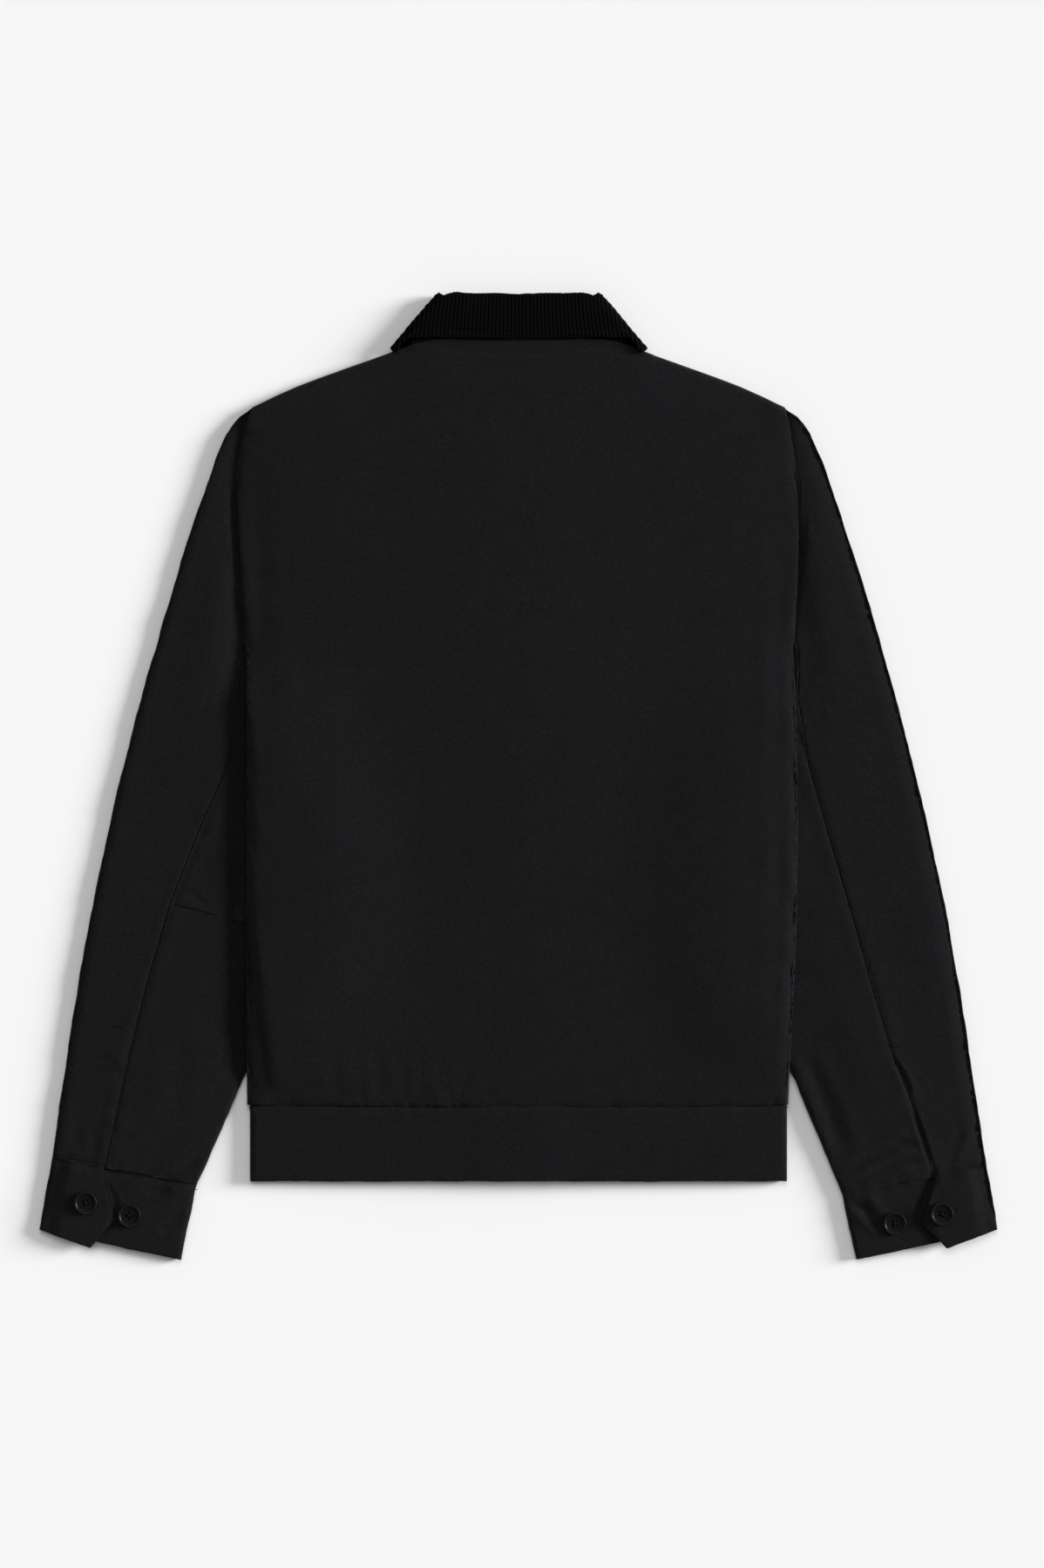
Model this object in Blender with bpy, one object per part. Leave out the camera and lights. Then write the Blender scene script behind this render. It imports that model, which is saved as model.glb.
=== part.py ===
"""A waist-length jacket laid flat on its front, with its back up.

The frame has +Z up, +Y toward the collar and the origin under the middle of the
garment, on the surface it lies on. All sizes below are in millimetres and are
turned into metres as the meshes are made. "Outward" is away from the middle line,
so one table serves both sides.
"""

import math
from typing import NamedTuple

import bmesh
import bpy

METRES = 0.001
SEAM_GAP = 0.3
MIDDLE_Y = 0.5

# Walls: the body is lined and lightly wadded, the sleeves less so.
BODY_WALL = 4.0
SLEEVE_WALL = 3.0
BAND_WALL = 3.0
CUFF_WALL = 2.6
COLLAR_WALL = 2.4
UNDER_COLLAR_WALL = 1.8
PLACKET_WALL = 2.0

# Body
SIDE_ROLL = 4.5
SIDE_HEIGHT = 2 * SIDE_ROLL + SEAM_GAP
CENTRE_FULLNESS = 2.6
FULLNESS_REACH = 60.0
ARMHOLE_DIP = 1.0
ARMHOLE_GAP = 0.9
SHOULDER_POINT_Y = 288.8
SHOULDER_POINT_X = 208.2
NECK_POINT_X = 83.7
UNDERARM_Y = 103.1
HEM_SEAM_Y = -256.4
HEM_SEAM_SAG = 1.6
HEM_HALF_WIDTH = 215.0
GATHER_WIDTH = 3.5
SIDE_ROLL_RUN = 8.0
BAND_LOW_Y = -316.3

# Sleeves
SLEEVE_ROLL = 3.75
SLEEVE_CROWN = 2.0
CAP_STATIONS = 3.0
ELBOW_STATION = 6.64
FRONT_SEAM_SHARE = 0.3
SLEEVE_SEAM_GAP = 0.5
SLEEVE_TOP_WIDTH = 150.0

# How the body lies over the sleeves
SLEEVE_LIFT = 8.9
LIFT_MARGIN = 8.0
LIFT_REACH = 88.0
LIFT_BELOW_UNDERARM = 2.0
LIFT_TOP_RUN = 50.0
LIFT_ABOVE_HEM = 4.0
LIFT_HEM_RUN = 40.0

# Front closure
OVERLAP = 13.0
BUTTON_HEIGHT = 3.0
LEFT_PLACKET_Z = BUTTON_HEIGHT + SEAM_GAP
RIGHT_PLACKET_Z = LEFT_PLACKET_Z + PLACKET_WALL + SEAM_GAP
LEFT_PLACKET_REACH = 2 * OVERLAP
RIGHT_PLACKET_REACH = 2.3 * OVERLAP
LEFT_PLACKET_STEP = 9.0
RIGHT_PLACKET_STEP = 1.4 * LEFT_PLACKET_STEP
FRONT_BUTTON_Y = (258.0, 150.0, 42.0, -66.0, -174.0, -286.0)

# Collar
COLLAR_MID_Z = 6.2
STAND_TURN = 2.2
FALL_TURN = 5.0
COLLAR_LIFT = COLLAR_WALL + SEAM_GAP
LEAF_MARGIN = 15.0
LEAF_REACH = 20.0

# Cuffs
CUFF_ROLL = 3.4
CUFF_TOP_Z = 2 * CUFF_ROLL
UNDERLAP_END_SHARE = 0.84
TAB_RISE = CUFF_WALL + SEAM_GAP


class BodyRow(NamedTuple):
    """Height along the body and how far out its left and right edges lie."""

    y: float
    left: float
    right: float


BODY_EDGES = (
    BodyRow(-256.4, 212.2, 210.9),
    BodyRow(-225.5, 212.2, 211.8),
    BodyRow(-114.6, 212.2, 217.0),
    BodyRow(36.4, 212.4, 217.2),
    BodyRow(103.1, 212.9, 215.0),
    BodyRow(171.0, 217.7, 219.0),
    BodyRow(225.5, 219.7, 217.6),
    BodyRow(266.0, 215.5, 213.5),
    BodyRow(288.8, 208.2, 208.2),
)


class PlanPoint(NamedTuple):
    """A point seen from above: outward distance and height along the body."""

    out: float
    y: float


SHOULDER_LINE = (
    PlanPoint(208.2, 288.8),
    PlanPoint(173.5, 304.9),
    PlanPoint(104.1, 330.2),
    PlanPoint(83.7, 337.9),
)
BACK_NECK = (
    PlanPoint(83.7, 337.9),
    PlanPoint(62.0, 342.9),
    PlanPoint(35.0, 346.0),
    PlanPoint(0.0, 347.0),
)
FRONT_NECK = (
    PlanPoint(83.7, 337.9),
    PlanPoint(72.0, 313.0),
    PlanPoint(52.0, 292.0),
    PlanPoint(28.0, 281.0),
    PlanPoint(5.0, 275.5),
    PlanPoint(-OVERLAP, 274.5),
)


class SleeveStation(NamedTuple):
    """One ring of a sleeve, from the armhole down to the cuff seam."""

    outer_out: float
    outer_y: float
    inner_out: float
    inner_y: float
    left_seam: float
    right_seam: float


SLEEVE = (
    SleeveStation(208.2, 288.8, 212.9, 103.1, 0.05, 0.05),
    SleeveStation(221.0, 277.3, 213.5, 98.0, 0.05, 0.05),
    SleeveStation(233.5, 256.8, 213.5, 92.0, 0.05, 0.05),
    SleeveStation(253.0, 202.0, 213.5, 82.0, 0.05, 0.05),
    SleeveStation(275.5, 130.3, 212.0, 62.0, 0.10, 0.10),
    SleeveStation(298.6, 48.6, 181.0, -12.0, 0.391, 0.383),
    SleeveStation(319.0, -33.0, 165.5, -82.0, 0.585, 0.520),
    SleeveStation(336.1, -114.6, 172.0, -150.0, 0.665, 0.575),
    SleeveStation(349.7, -196.3, 205.5, -215.0, 0.66, 0.57),
    SleeveStation(357.8, -250.0, 230.5, -272.0, 0.648, 0.61),
    SleeveStation(364.6, -298.3, 251.7, -320.0, 0.639, 0.66),
)
TUCKED_FROM_STATION = 4


class Pucker(NamedTuple):
    """A small gather: its place, depth and reach away from the seam."""

    at: float
    depth: float
    reach: float


HEM_GATHERS = (
    Pucker(-143.0, 1.0, 16.0),
    Pucker(-131.0, 1.3, 22.0),
    Pucker(-120.0, 0.9, 14.0),
    Pucker(-107.5, 1.4, 26.0),
    Pucker(-97.0, 0.9, 15.0),
    Pucker(-85.0, 1.3, 24.0),
    Pucker(-72.0, 1.1, 18.0),
    Pucker(-59.0, 1.3, 28.0),
    Pucker(-44.0, 1.0, 17.0),
    Pucker(-29.5, 1.2, 22.0),
    Pucker(3.5, 0.9, 18.0),
    Pucker(34.0, 1.0, 20.0),
    Pucker(71.5, 0.8, 15.0),
)
CUFF_PUCKERS = (
    Pucker(0.16, 0.9, 1.1),
    Pucker(0.40, 1.2, 0.8),
    Pucker(0.74, 0.8, 0.7),
    Pucker(0.88, 1.0, 0.9),
)


class CollarStation(NamedTuple):
    """Neck seam, fold and free edge of the collar, seen from above."""

    neck: PlanPoint
    fold: PlanPoint
    edge: PlanPoint


COLLAR_FRONT = (
    CollarStation(PlanPoint(5.0, 276.8), PlanPoint(6.0, 286.0), PlanPoint(51.0, 233.7)),
    CollarStation(PlanPoint(27.7, 282.6), PlanPoint(20.0, 302.0), PlanPoint(66.0, 252.0)),
    CollarStation(PlanPoint(51.4, 293.6), PlanPoint(36.0, 325.0), PlanPoint(80.0, 275.0)),
    CollarStation(PlanPoint(70.8, 314.4), PlanPoint(50.0, 350.0), PlanPoint(90.0, 300.0)),
)
COLLAR_TURN = CollarStation(PlanPoint(82.6, 338.6), PlanPoint(59.9, 373.9), PlanPoint(96.0, 331.0))
COLLAR_BACK = (
    CollarStation(PlanPoint(78.0, 340.0), PlanPoint(57.0, 375.4), PlanPoint(92.0, 338.6)),
    CollarStation(PlanPoint(70.0, 341.7), PlanPoint(51.5, 376.3), PlanPoint(85.0, 342.8)),
    CollarStation(PlanPoint(52.0, 344.8), PlanPoint(36.0, 375.6), PlanPoint(60.0, 343.2)),
    CollarStation(PlanPoint(27.0, 347.0), PlanPoint(19.0, 374.8), PlanPoint(31.0, 342.6)),
    CollarStation(PlanPoint(0.0, 347.5), PlanPoint(0.0, 374.3), PlanPoint(0.0, 342.2)),
)
COLLAR_TURN_STEPS = 5


class SideOf(NamedTuple):
    """What differs between the garment's two sides."""

    name: str
    sign: float
    edge_column: int
    cuff_seam_drop: float
    tab_button: PlanPoint
    spare_button: PlanPoint


LEFT = SideOf("left", -1.0, 1, 0.0, PlanPoint(338.1, -333.0), PlanPoint(304.1, -343.2))
RIGHT = SideOf("right", 1.0, 2, 7.5, PlanPoint(330.6, -341.8), PlanPoint(293.9, -349.3))


class Edge(NamedTuple):
    """How near a grid line is to a panel's edge: 1 on it, 0 past its roll."""

    fall: float
    turn: float


# Where the body's panels have their rows and columns
ROLL_ANGLES = tuple(math.radians(angle) for angle in (90, 45, 0))
ROLL_OFFSETS = tuple(SIDE_ROLL * (1 - math.sin(angle)) for angle in ROLL_ANGLES)
FLAT = Edge(0.0, 0.0)
ROLL_EDGES = tuple(Edge(1 - math.cos(angle), math.sin(angle)) for angle in ROLL_ANGLES)
BESIDE_ROLL = (10.0, 20.0, 36.0, 52.0)
SHOULDER_SLOPE = 0.94
UPPER_ROWS = (0.025, 0.05, 0.085, 0.13, 0.19, 0.27)
ROWS_BELOW_UNDERARM = (0.0, 0.016, 0.05, 0.085)
LOWER_ROWS = (0.52, 0.62, 0.72, 0.82, 0.9, 0.935, 0.965, 0.985, 1.0)
BACK_EXTRA_COLUMNS = (84.5, 108.0, 134.0)
FRONT_COLUMNS = (70.0, 88.0, 106.0, 128.2, 134.5, 143.0, 158.0, 174.0, 186.0, 190.7, 195.2, 210.0, 225.2)
FRONT_NECK_COLUMN = 128.2

# Hem band
BAND_ROLL = 3.85
BAND_FULLNESS = 1.6
BAND_CLOSURE_RISE = 1.1
BAND_OUT = 209.9
BAND_ROWS = (0.0, 0.02, 0.1, 0.5, 0.9, 0.98, 1.0)
BAND_EDGE_DIP = (0.5, 0.15, 0.0, 0.0, 0.0, 0.2, 0.7)
BAND_COLUMNS = (9.0, 18.0, 32.0, 50.0, 75.0, 105.0, 140.0, 165.0)
BAND_MIDDLE_COLUMNS = (-24.0, 0.0, 24.0)
BAND_CLOSURE_HALF = 24.0
BAND_CLOSURE_RUN = 26.0
BAND_FRONT_COLUMNS = (181.0, 186.0, 190.5, 197.0, 210.0)

# Sleeve rings
SLEEVE_STATIONS = (0.0, 0.35, 0.7, 1.1, 1.6, 2.2, 3.0, 3.5, 4.0, 5.0, 5.8, ELBOW_STATION)
FOREARM_STATIONS = (ELBOW_STATION, 7.5, 8.3, 9.0, 9.5, 10.0)
ELBOW_GAP = 0.002
EDGE_STEP = 0.1
LAST_STATION = len(SLEEVE) - 1
CUFF_SHIFT = PlanPoint(0.2, -1.0)
LEAST_SEAM_SHARE = 0.02
CROWN_POWER = 3
CROWN_AT_TOP = 0.3
CROWN_TOP_RUN = 2.0
CROWN_AT_CUFF = 0.4
CROWN_CUFF_RUN = 1.2
CUFF_PUCKER_WIDTH = 0.05

# Cuff bands
CUFF_INNER_CORNER = PlanPoint(263.9, -377.9)
CUFF_OUTER_CORNER = PlanPoint(374.8, -354.1)
TAB_DROOP = 0.142
CUFF_ROWS = (0.0, 0.05, 0.3, 0.57, 0.78, 0.95, 1.0)
TAB_END_KEYS = (0.0, 0.57, 1.0)
TAB_END_SHARES = (0.651, 0.503, 0.638)
TAB_RISE_START = 0.94
TAB_RISE_END = 0.86
TAB_RISE_MIDDLE = 0.9
CUFF_WIDTH = 115.0

# Collar sections
STAND_SHARES = (0.0, 0.5)
FOLD_ANGLES = (-90, -45, 0, 45, 90)
FALL_SHARES = (0.25, 0.5, 0.75, 0.94, 1.0)

# Buttons: radius and height round the turned outline
BUTTON_PROFILE = ((0, 0), (7.8, 0), (9.0, 1.2), (8.6, 2.7), (7.7, 3.0), (6.4, 2.2), (0, 2.2))
BUTTON_STEPS = 14

# Plain finishes
SHELL_COLOUR = (0.011, 0.011, 0.013)
CORDUROY_COLOUR = (0.004, 0.004, 0.005)
BUTTON_COLOUR = (0.012, 0.012, 0.013)


def ease(value):
    """A smooth step that is 0 below 0 and 1 above 1."""
    value = min(max(value, 0.0), 1.0)
    return value * value * (3.0 - 2.0 * value)


def mix(start, end, share):
    """The value a share of the way from start to end."""
    return start + (end - start) * share


def mix_points(start, end, share):
    """The plan point a share of the way from start to end."""
    return PlanPoint(mix(start.out, end.out, share), mix(start.y, end.y, share))


def unit(out, y):
    """A plan direction of length 1."""
    length = math.hypot(out, y)
    return PlanPoint(out / length, y / length)


def spread(start, end, count):
    """Numbers from start to end in equal steps, both ends kept."""
    return [mix(start, end, step / (count - 1)) for step in range(count)]


def smooth_between(keys, values, key):
    """A smooth curve through values at rising keys, read at one key."""
    last = len(keys) - 1
    key = min(max(key, keys[0]), keys[last])
    low = max(index for index in range(last) if keys[index] <= key)

    def slope(index):
        before = max(index - 1, 0)
        after = min(index + 1, last)
        return (values[after] - values[before]) / (keys[after] - keys[before])

    width = keys[low + 1] - keys[low]
    share = (key - keys[low]) / width
    rise = values[low + 1] - values[low]
    start_bend = slope(low) * width - rise
    end_bend = rise - slope(low + 1) * width
    bend = share * (1 - share) * (start_bend * (1 - share) + end_bend * share)
    return values[low] + rise * share + bend


def body_edge(side, y):
    """How far out the body's edge lies at height y."""
    keys = [row.y for row in BODY_EDGES]
    return smooth_between(keys, [row[side.edge_column] for row in BODY_EDGES], y)


def station_value(column, station):
    """One column of the sleeve table, read between its rows."""
    keys = list(range(len(SLEEVE)))
    return smooth_between(keys, [row[column] for row in SLEEVE], station)


def sleeve_inner(side, station):
    """The sleeve's inner edge, beside the body's edge or tucked under it."""
    y = station_value(3, station)
    out = station_value(2, station)
    beside = body_edge(side, y) + 2 * SEAM_GAP
    blend = ease((station - CAP_STATIONS) / (TUCKED_FROM_STATION - CAP_STATIONS))
    return PlanPoint(mix(beside, out, blend), y)


def tuck_at(side, y):
    """How far the sleeve reaches in under the body's edge at height y."""
    rows = SLEEVE[:2:-1]
    keys = [row.inner_y for row in rows]
    inner = smooth_between(keys, [row.inner_out for row in rows], y)
    return max(body_edge(side, y) - inner, 0.0)


def sleeve_lift(x, y):
    """How far the tucked sleeves raise the body's underside at a point."""
    side = LEFT if x < 0 else RIGHT
    from_top = ease((UNDERARM_Y - LIFT_BELOW_UNDERARM - y) / LIFT_TOP_RUN)
    from_hem = ease((y - HEM_SEAM_Y - LIFT_ABOVE_HEM) / LIFT_HEM_RUN)
    inside = body_edge(side, y) - abs(x)
    fall = ease((inside - tuck_at(side, y) - LIFT_MARGIN) / LIFT_REACH)
    return SLEEVE_LIFT * from_top * from_hem * (1.0 - fall)


def collar_leaf_outline():
    """The collar leaf's outline on the front, as plan points in order."""
    stations = COLLAR_FRONT + (COLLAR_TURN,)
    edge = [station.edge for station in stations]
    return edge + [station.fold for station in reversed(stations)]


def distance_outside(point, outline):
    """Distance from a plan point to an outline, 0 inside it."""
    inside = False
    nearest = math.inf
    for start, end in zip(outline, outline[1:] + outline[:1]):
        along = PlanPoint(end.out - start.out, end.y - start.y)
        length = along.out ** 2 + along.y ** 2
        share = ((point.out - start.out) * along.out + (point.y - start.y) * along.y) / length
        share = min(max(share, 0.0), 1.0)
        nearest = min(nearest, math.dist(point, mix_points(start, end, share)))
        if (start.y > point.y) != (end.y > point.y):
            crossing = start.out + (point.y - start.y) / along.y * along.out
            inside = inside != (point.out < crossing)
    return 0.0 if inside else nearest


LEAF_OUTLINE = collar_leaf_outline()


def leaf_share(x, y):
    """1 where a collar leaf lies under the front, falling smoothly to 0."""
    distance = distance_outside(PlanPoint(abs(x), y), LEAF_OUTLINE)
    return 1.0 - ease((distance - LEAF_MARGIN) / LEAF_REACH)


def add_object(name, bm, material):
    """Scale a finished bmesh to metres and link it as a named object."""
    bmesh.ops.recalc_face_normals(bm, faces=bm.faces)
    bmesh.ops.translate(bm, vec=(0, -MIDDLE_Y, 0), verts=bm.verts)
    bmesh.ops.scale(bm, vec=(METRES, METRES, METRES), verts=bm.verts)
    mesh = bpy.data.meshes.new(name)
    bm.to_mesh(mesh)
    bm.free()
    mesh.materials.append(material)
    mesh.shade_smooth()
    mesh.set_sharp_from_angle(angle=math.radians(40))
    bpy.context.scene.collection.objects.link(bpy.data.objects.new(name, mesh))


def add_wall(name, outer, inner, material):
    """Close an outer and an inner grid of points into one cloth wall."""
    bm = bmesh.new()
    grids = [[[bm.verts.new(point) for point in row] for row in grid] for grid in (outer, inner)]
    for grid in grids:
        for upper, lower in zip(grid, grid[1:]):
            for column in range(len(upper) - 1):
                bm.faces.new((upper[column], upper[column + 1], lower[column + 1], lower[column]))
    rims = []
    for grid in grids:
        right = [row[-1] for row in grid[1:-1]]
        left = [row[0] for row in grid[1:-1]]
        rims.append(grid[0] + right + grid[-1][::-1] + left[::-1])
    count = len(rims[0])
    for index in range(count):
        following = (index + 1) % count
        bm.faces.new((rims[0][index], rims[0][following], rims[1][following], rims[1][index]))
    add_object(name, bm, material)


def hem_seam_y(x):
    """Height of the seam between body and hem band, sagging at its middle."""
    return HEM_SEAM_Y - HEM_SEAM_SAG * math.cos(min(abs(x) / HEM_HALF_WIDTH, 1.0) * math.pi / 2)


def body_rows():
    """Shares down the body where a panel has a row, and each row's edge roll."""
    length = SHOULDER_POINT_Y - HEM_SEAM_Y
    rolled = [offset / SHOULDER_SLOPE / length for offset in ROLL_OFFSETS]
    underarm = (SHOULDER_POINT_Y - UNDERARM_Y) / length
    below = [underarm + share for share in ROWS_BELOW_UNDERARM]
    shares = rolled + list(UPPER_ROWS) + below + list(LOWER_ROWS)
    edges = list(ROLL_EDGES) + [FLAT] * (len(shares) - len(ROLL_EDGES))
    return list(zip(shares, edges))


def patch_point(top, hem, left, right, across, down):
    """A point of the patch between four edge curves that meet at its corners."""
    x = mix(top(across)[0], hem(across)[0], down)
    y = mix(top(across)[1], hem(across)[1], down)
    x += (1 - across) * (left(down)[0] - mix(top(0)[0], hem(0)[0], down))
    y += (1 - across) * (left(down)[1] - mix(top(0)[1], hem(0)[1], down))
    x += across * (right(down)[0] - mix(top(1)[0], hem(1)[0], down))
    y += across * (right(down)[1] - mix(top(1)[1], hem(1)[1], down))
    return x, y


def table_height(points, out):
    """Height of a plan curve at an outward distance."""
    ordered = sorted(points, key=lambda point: point.out)
    keys = [point.out for point in ordered]
    return smooth_between(keys, [point.y for point in ordered], out)


def back_top(across):
    """The back's upper edge: shoulder, neck seam, shoulder."""
    x = mix(-SHOULDER_POINT_X, SHOULDER_POINT_X, across)
    curve = SHOULDER_LINE if abs(x) > NECK_POINT_X else BACK_NECK
    return x, table_height(curve, abs(x))


def side_curve(side):
    """The body's side edge as a curve from the shoulder point to the hem seam."""
    def curve(down):
        y = mix(SHOULDER_POINT_Y, HEM_SEAM_Y, down)
        return side.sign * body_edge(side, y), y
    return curve


def side_roll_share(y):
    """1 where the side seam turns the panel's edge round, 0 along the armhole."""
    return 1.0 - ease((y - UNDERARM_Y) / SIDE_ROLL_RUN + 1.0)


def seam_mid_z(x, y):
    """Height of the side and shoulder seams above the surface."""
    return SIDE_ROLL + SEAM_GAP / 2 + sleeve_lift(x, y)


def back_top_z(x, y):
    """Height of the back's outer face before its edges roll over."""
    side = LEFT if x < 0 else RIGHT
    inside = body_edge(side, min(y, SHOULDER_POINT_Y)) - abs(x)
    curve = SHOULDER_LINE if abs(x) > NECK_POINT_X else BACK_NECK
    below_top = table_height(curve, abs(x)) - y
    fullness = ease(min(inside, below_top) / FULLNESS_REACH)
    return SIDE_HEIGHT + CENTRE_FULLNESS * fullness + sleeve_lift(x, y)


def hem_gather(x, y):
    """Depth of the small gathers above the hem band."""
    above = y - hem_seam_y(x)
    depth = 0.0
    for gather in HEM_GATHERS:
        across = math.exp(-((x - gather.at) / GATHER_WIDTH) ** 2)
        depth += gather.depth * across * math.exp(-((above / gather.reach) ** 2))
    return depth


def back_columns():
    """Shares across the back where it has a column, with each column's edge."""
    left_end = -body_edge(LEFT, HEM_SEAM_Y)
    right_end = body_edge(RIGHT, HEM_SEAM_Y)
    gathers = [gather.at for gather in HEM_GATHERS]
    between = [(first + second) / 2 for first, second in zip(gathers, gathers[1:])]
    offsets = list(ROLL_OFFSETS) + list(BESIDE_ROLL)
    inner = sorted(gathers + between + list(BACK_EXTRA_COLUMNS))
    places = [left_end + offset for offset in offsets] + inner
    places += [right_end - offset for offset in reversed(offsets)]
    edges = list(ROLL_EDGES) + [FLAT] * (len(places) - 2 * len(ROLL_EDGES))
    edges += list(reversed(ROLL_EDGES))
    return [((place - left_end) / (right_end - left_end), edge) for place, edge in zip(places, edges)]


def back_wall(material):
    """The one-piece back."""
    left = side_curve(LEFT)
    right = side_curve(RIGHT)

    def hem(across):
        x = mix(left(1)[0], right(1)[0], across)
        return x, HEM_SEAM_Y + (hem_seam_y(x) - hem_seam_y(left(1)[0]))

    outer = []
    inner = []
    for down, row_edge in body_rows():
        outer.append([])
        inner.append([])
        for across, column_edge in back_columns():
            x, y = patch_point(back_top, hem, left, right, across, down)
            roll = side_roll_share(y)
            shoulder = 1.0 if abs(back_top(across)[0]) > NECK_POINT_X + 1 else 0.0
            side_drop = column_edge.fall * mix(ARMHOLE_DIP, SIDE_ROLL, roll)
            drop = min(side_drop + row_edge.fall * shoulder * SIDE_ROLL, SIDE_ROLL)
            thinning = SIDE_ROLL - BODY_WALL
            lining_drop = min(column_edge.fall + row_edge.fall * shoulder, 1.0) * thinning
            top = back_top_z(x, y)
            outer[-1].append((x, y, top - drop - hem_gather(x, y)))
            shift_x = -math.copysign(column_edge.turn * roll * BODY_WALL, x)
            shift_y = -row_edge.turn * shoulder * BODY_WALL / SHOULDER_SLOPE
            inner[-1].append((x + shift_x, y + shift_y, top - BODY_WALL - lining_drop))
    add_wall("back", outer, inner, material)


def front_outer_z(side, x, y):
    """Height of a front's outer face: over a sleeve, a collar leaf or the buttons."""
    inward = -side.sign * x
    if side is LEFT:
        placket = LEFT_PLACKET_Z * ease((inward + LEFT_PLACKET_REACH) / LEFT_PLACKET_STEP)
    else:
        placket = RIGHT_PLACKET_Z * ease((inward + RIGHT_PLACKET_REACH) / RIGHT_PLACKET_STEP)
    return max(sleeve_lift(x, y), COLLAR_LIFT * leaf_share(x, y), placket), placket


def front_wall(side, material):
    """One front, from its side seam to its overlapping edge."""
    side_edge = side_curve(side)
    width = body_edge(side, HEM_SEAM_Y) + OVERLAP
    neck_share = FRONT_NECK_COLUMN / FRONT_COLUMNS[-1]

    def top(across):
        if across < neck_share:
            out = mix(SHOULDER_POINT_X, NECK_POINT_X, across / neck_share)
            return side.sign * out, table_height(SHOULDER_LINE, out)
        out = mix(NECK_POINT_X, -OVERLAP, (across - neck_share) / (1 - neck_share))
        return side.sign * out, table_height(FRONT_NECK, out)

    def hem(across):
        x = side.sign * mix(width - OVERLAP, -OVERLAP, across)
        return x, HEM_SEAM_Y + (hem_seam_y(x) - hem_seam_y(width - OVERLAP))

    def closing_edge(down):
        return mix(top(1)[0], hem(1)[0], down), mix(top(1)[1], hem(1)[1], down)

    places = list(ROLL_OFFSETS) + list(BESIDE_ROLL) + list(FRONT_COLUMNS)
    edges = list(ROLL_EDGES) + [FLAT] * (len(places) - len(ROLL_EDGES))
    outer = []
    inner = []
    for down, row_edge in body_rows():
        outer.append([])
        inner.append([])
        for place, column_edge in zip(places, edges):
            across = place / FRONT_COLUMNS[-1]
            x, y = patch_point(top, hem, side_edge, closing_edge, across, down)
            face, placket = front_outer_z(side, x, y)
            leaf = COLLAR_LIFT * leaf_share(x, y)
            lining = max(sleeve_lift(x, y) + BODY_WALL, leaf + UNDER_COLLAR_WALL, placket + PLACKET_WALL)
            roll = side_roll_share(y)
            shoulder = 1.0 if across < neck_share - 0.01 else 0.0
            turn_share = max(column_edge.fall * roll, row_edge.fall * shoulder)
            seam = seam_mid_z(x, y) - SEAM_GAP / 2
            outer[-1].append((x, y, mix(face, seam, turn_share)))
            wall = lining - face
            shift_x = -side.sign * column_edge.turn * roll * wall
            shift_y = -row_edge.turn * shoulder * wall / SHOULDER_SLOPE
            inner[-1].append((x + shift_x, y + shift_y, mix(lining, seam, turn_share)))
    add_wall(f"front_{side.name}", outer, inner, material)


def band_y(x, down):
    """Height in the hem band, from its seam to its lower edge."""
    return mix(hem_seam_y(x) - SEAM_GAP, BAND_LOW_Y, down)


def band_back(material):
    """The hem band's back part."""
    rolled = [BAND_ROLL * (1 - math.sin(angle)) for angle in ROLL_ANGLES]
    offsets = rolled + list(BAND_COLUMNS)
    places = [-BAND_OUT + offset for offset in offsets] + list(BAND_MIDDLE_COLUMNS)
    places += [BAND_OUT - offset for offset in reversed(offsets)]
    edges = list(ROLL_EDGES) + [FLAT] * (len(places) - 2 * len(ROLL_EDGES))
    edges += list(reversed(ROLL_EDGES))
    outer = []
    inner = []
    for down, dip in zip(BAND_ROWS, BAND_EDGE_DIP):
        outer.append([])
        inner.append([])
        for x, edge in zip(places, edges):
            inside = BAND_OUT - abs(x)
            closure = BAND_CLOSURE_RISE * (1 - ease((abs(x) - BAND_CLOSURE_HALF) / BAND_CLOSURE_RUN))
            top = 2 * BAND_ROLL + SEAM_GAP + BAND_FULLNESS * ease(inside / FULLNESS_REACH) + closure
            y = band_y(x, down)
            outer[-1].append((x, y, top - edge.fall * BAND_ROLL - dip * (1 - edge.fall)))
            shift = -math.copysign(edge.turn * BAND_WALL, x)
            lining = top - BAND_WALL - edge.fall * (BAND_ROLL - BAND_WALL)
            inner[-1].append((x + shift, y, lining))
    add_wall("band_back", outer, inner, material)


def band_front(side, material):
    """One front part of the hem band, lapping with the other at the middle."""
    rolled = [BAND_ROLL * (1 - math.sin(angle)) for angle in ROLL_ANGLES]
    places = rolled + list(BAND_COLUMNS + BAND_FRONT_COLUMNS) + [BAND_OUT + OVERLAP]
    edges = list(ROLL_EDGES) + [FLAT] * (len(places) - len(ROLL_EDGES))
    outer = []
    inner = []
    for down, dip in zip(BAND_ROWS, BAND_EDGE_DIP):
        outer.append([])
        inner.append([])
        for place, edge in zip(places, edges):
            x = side.sign * (BAND_OUT - place)
            placket = front_outer_z(side, x, BAND_LOW_Y)[1]
            lining = max(BAND_WALL, placket + PLACKET_WALL)
            y = band_y(x, down)
            outer[-1].append((x, y, mix(placket, BAND_ROLL, edge.fall)))
            shift = -side.sign * edge.turn * BAND_WALL
            lining = mix(lining, BAND_ROLL, edge.fall) - dip * 0.5 * (1 - edge.fall)
            inner[-1].append((x + shift, y, lining))
    add_wall(f"band_front_{side.name}", outer, inner, material)


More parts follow.
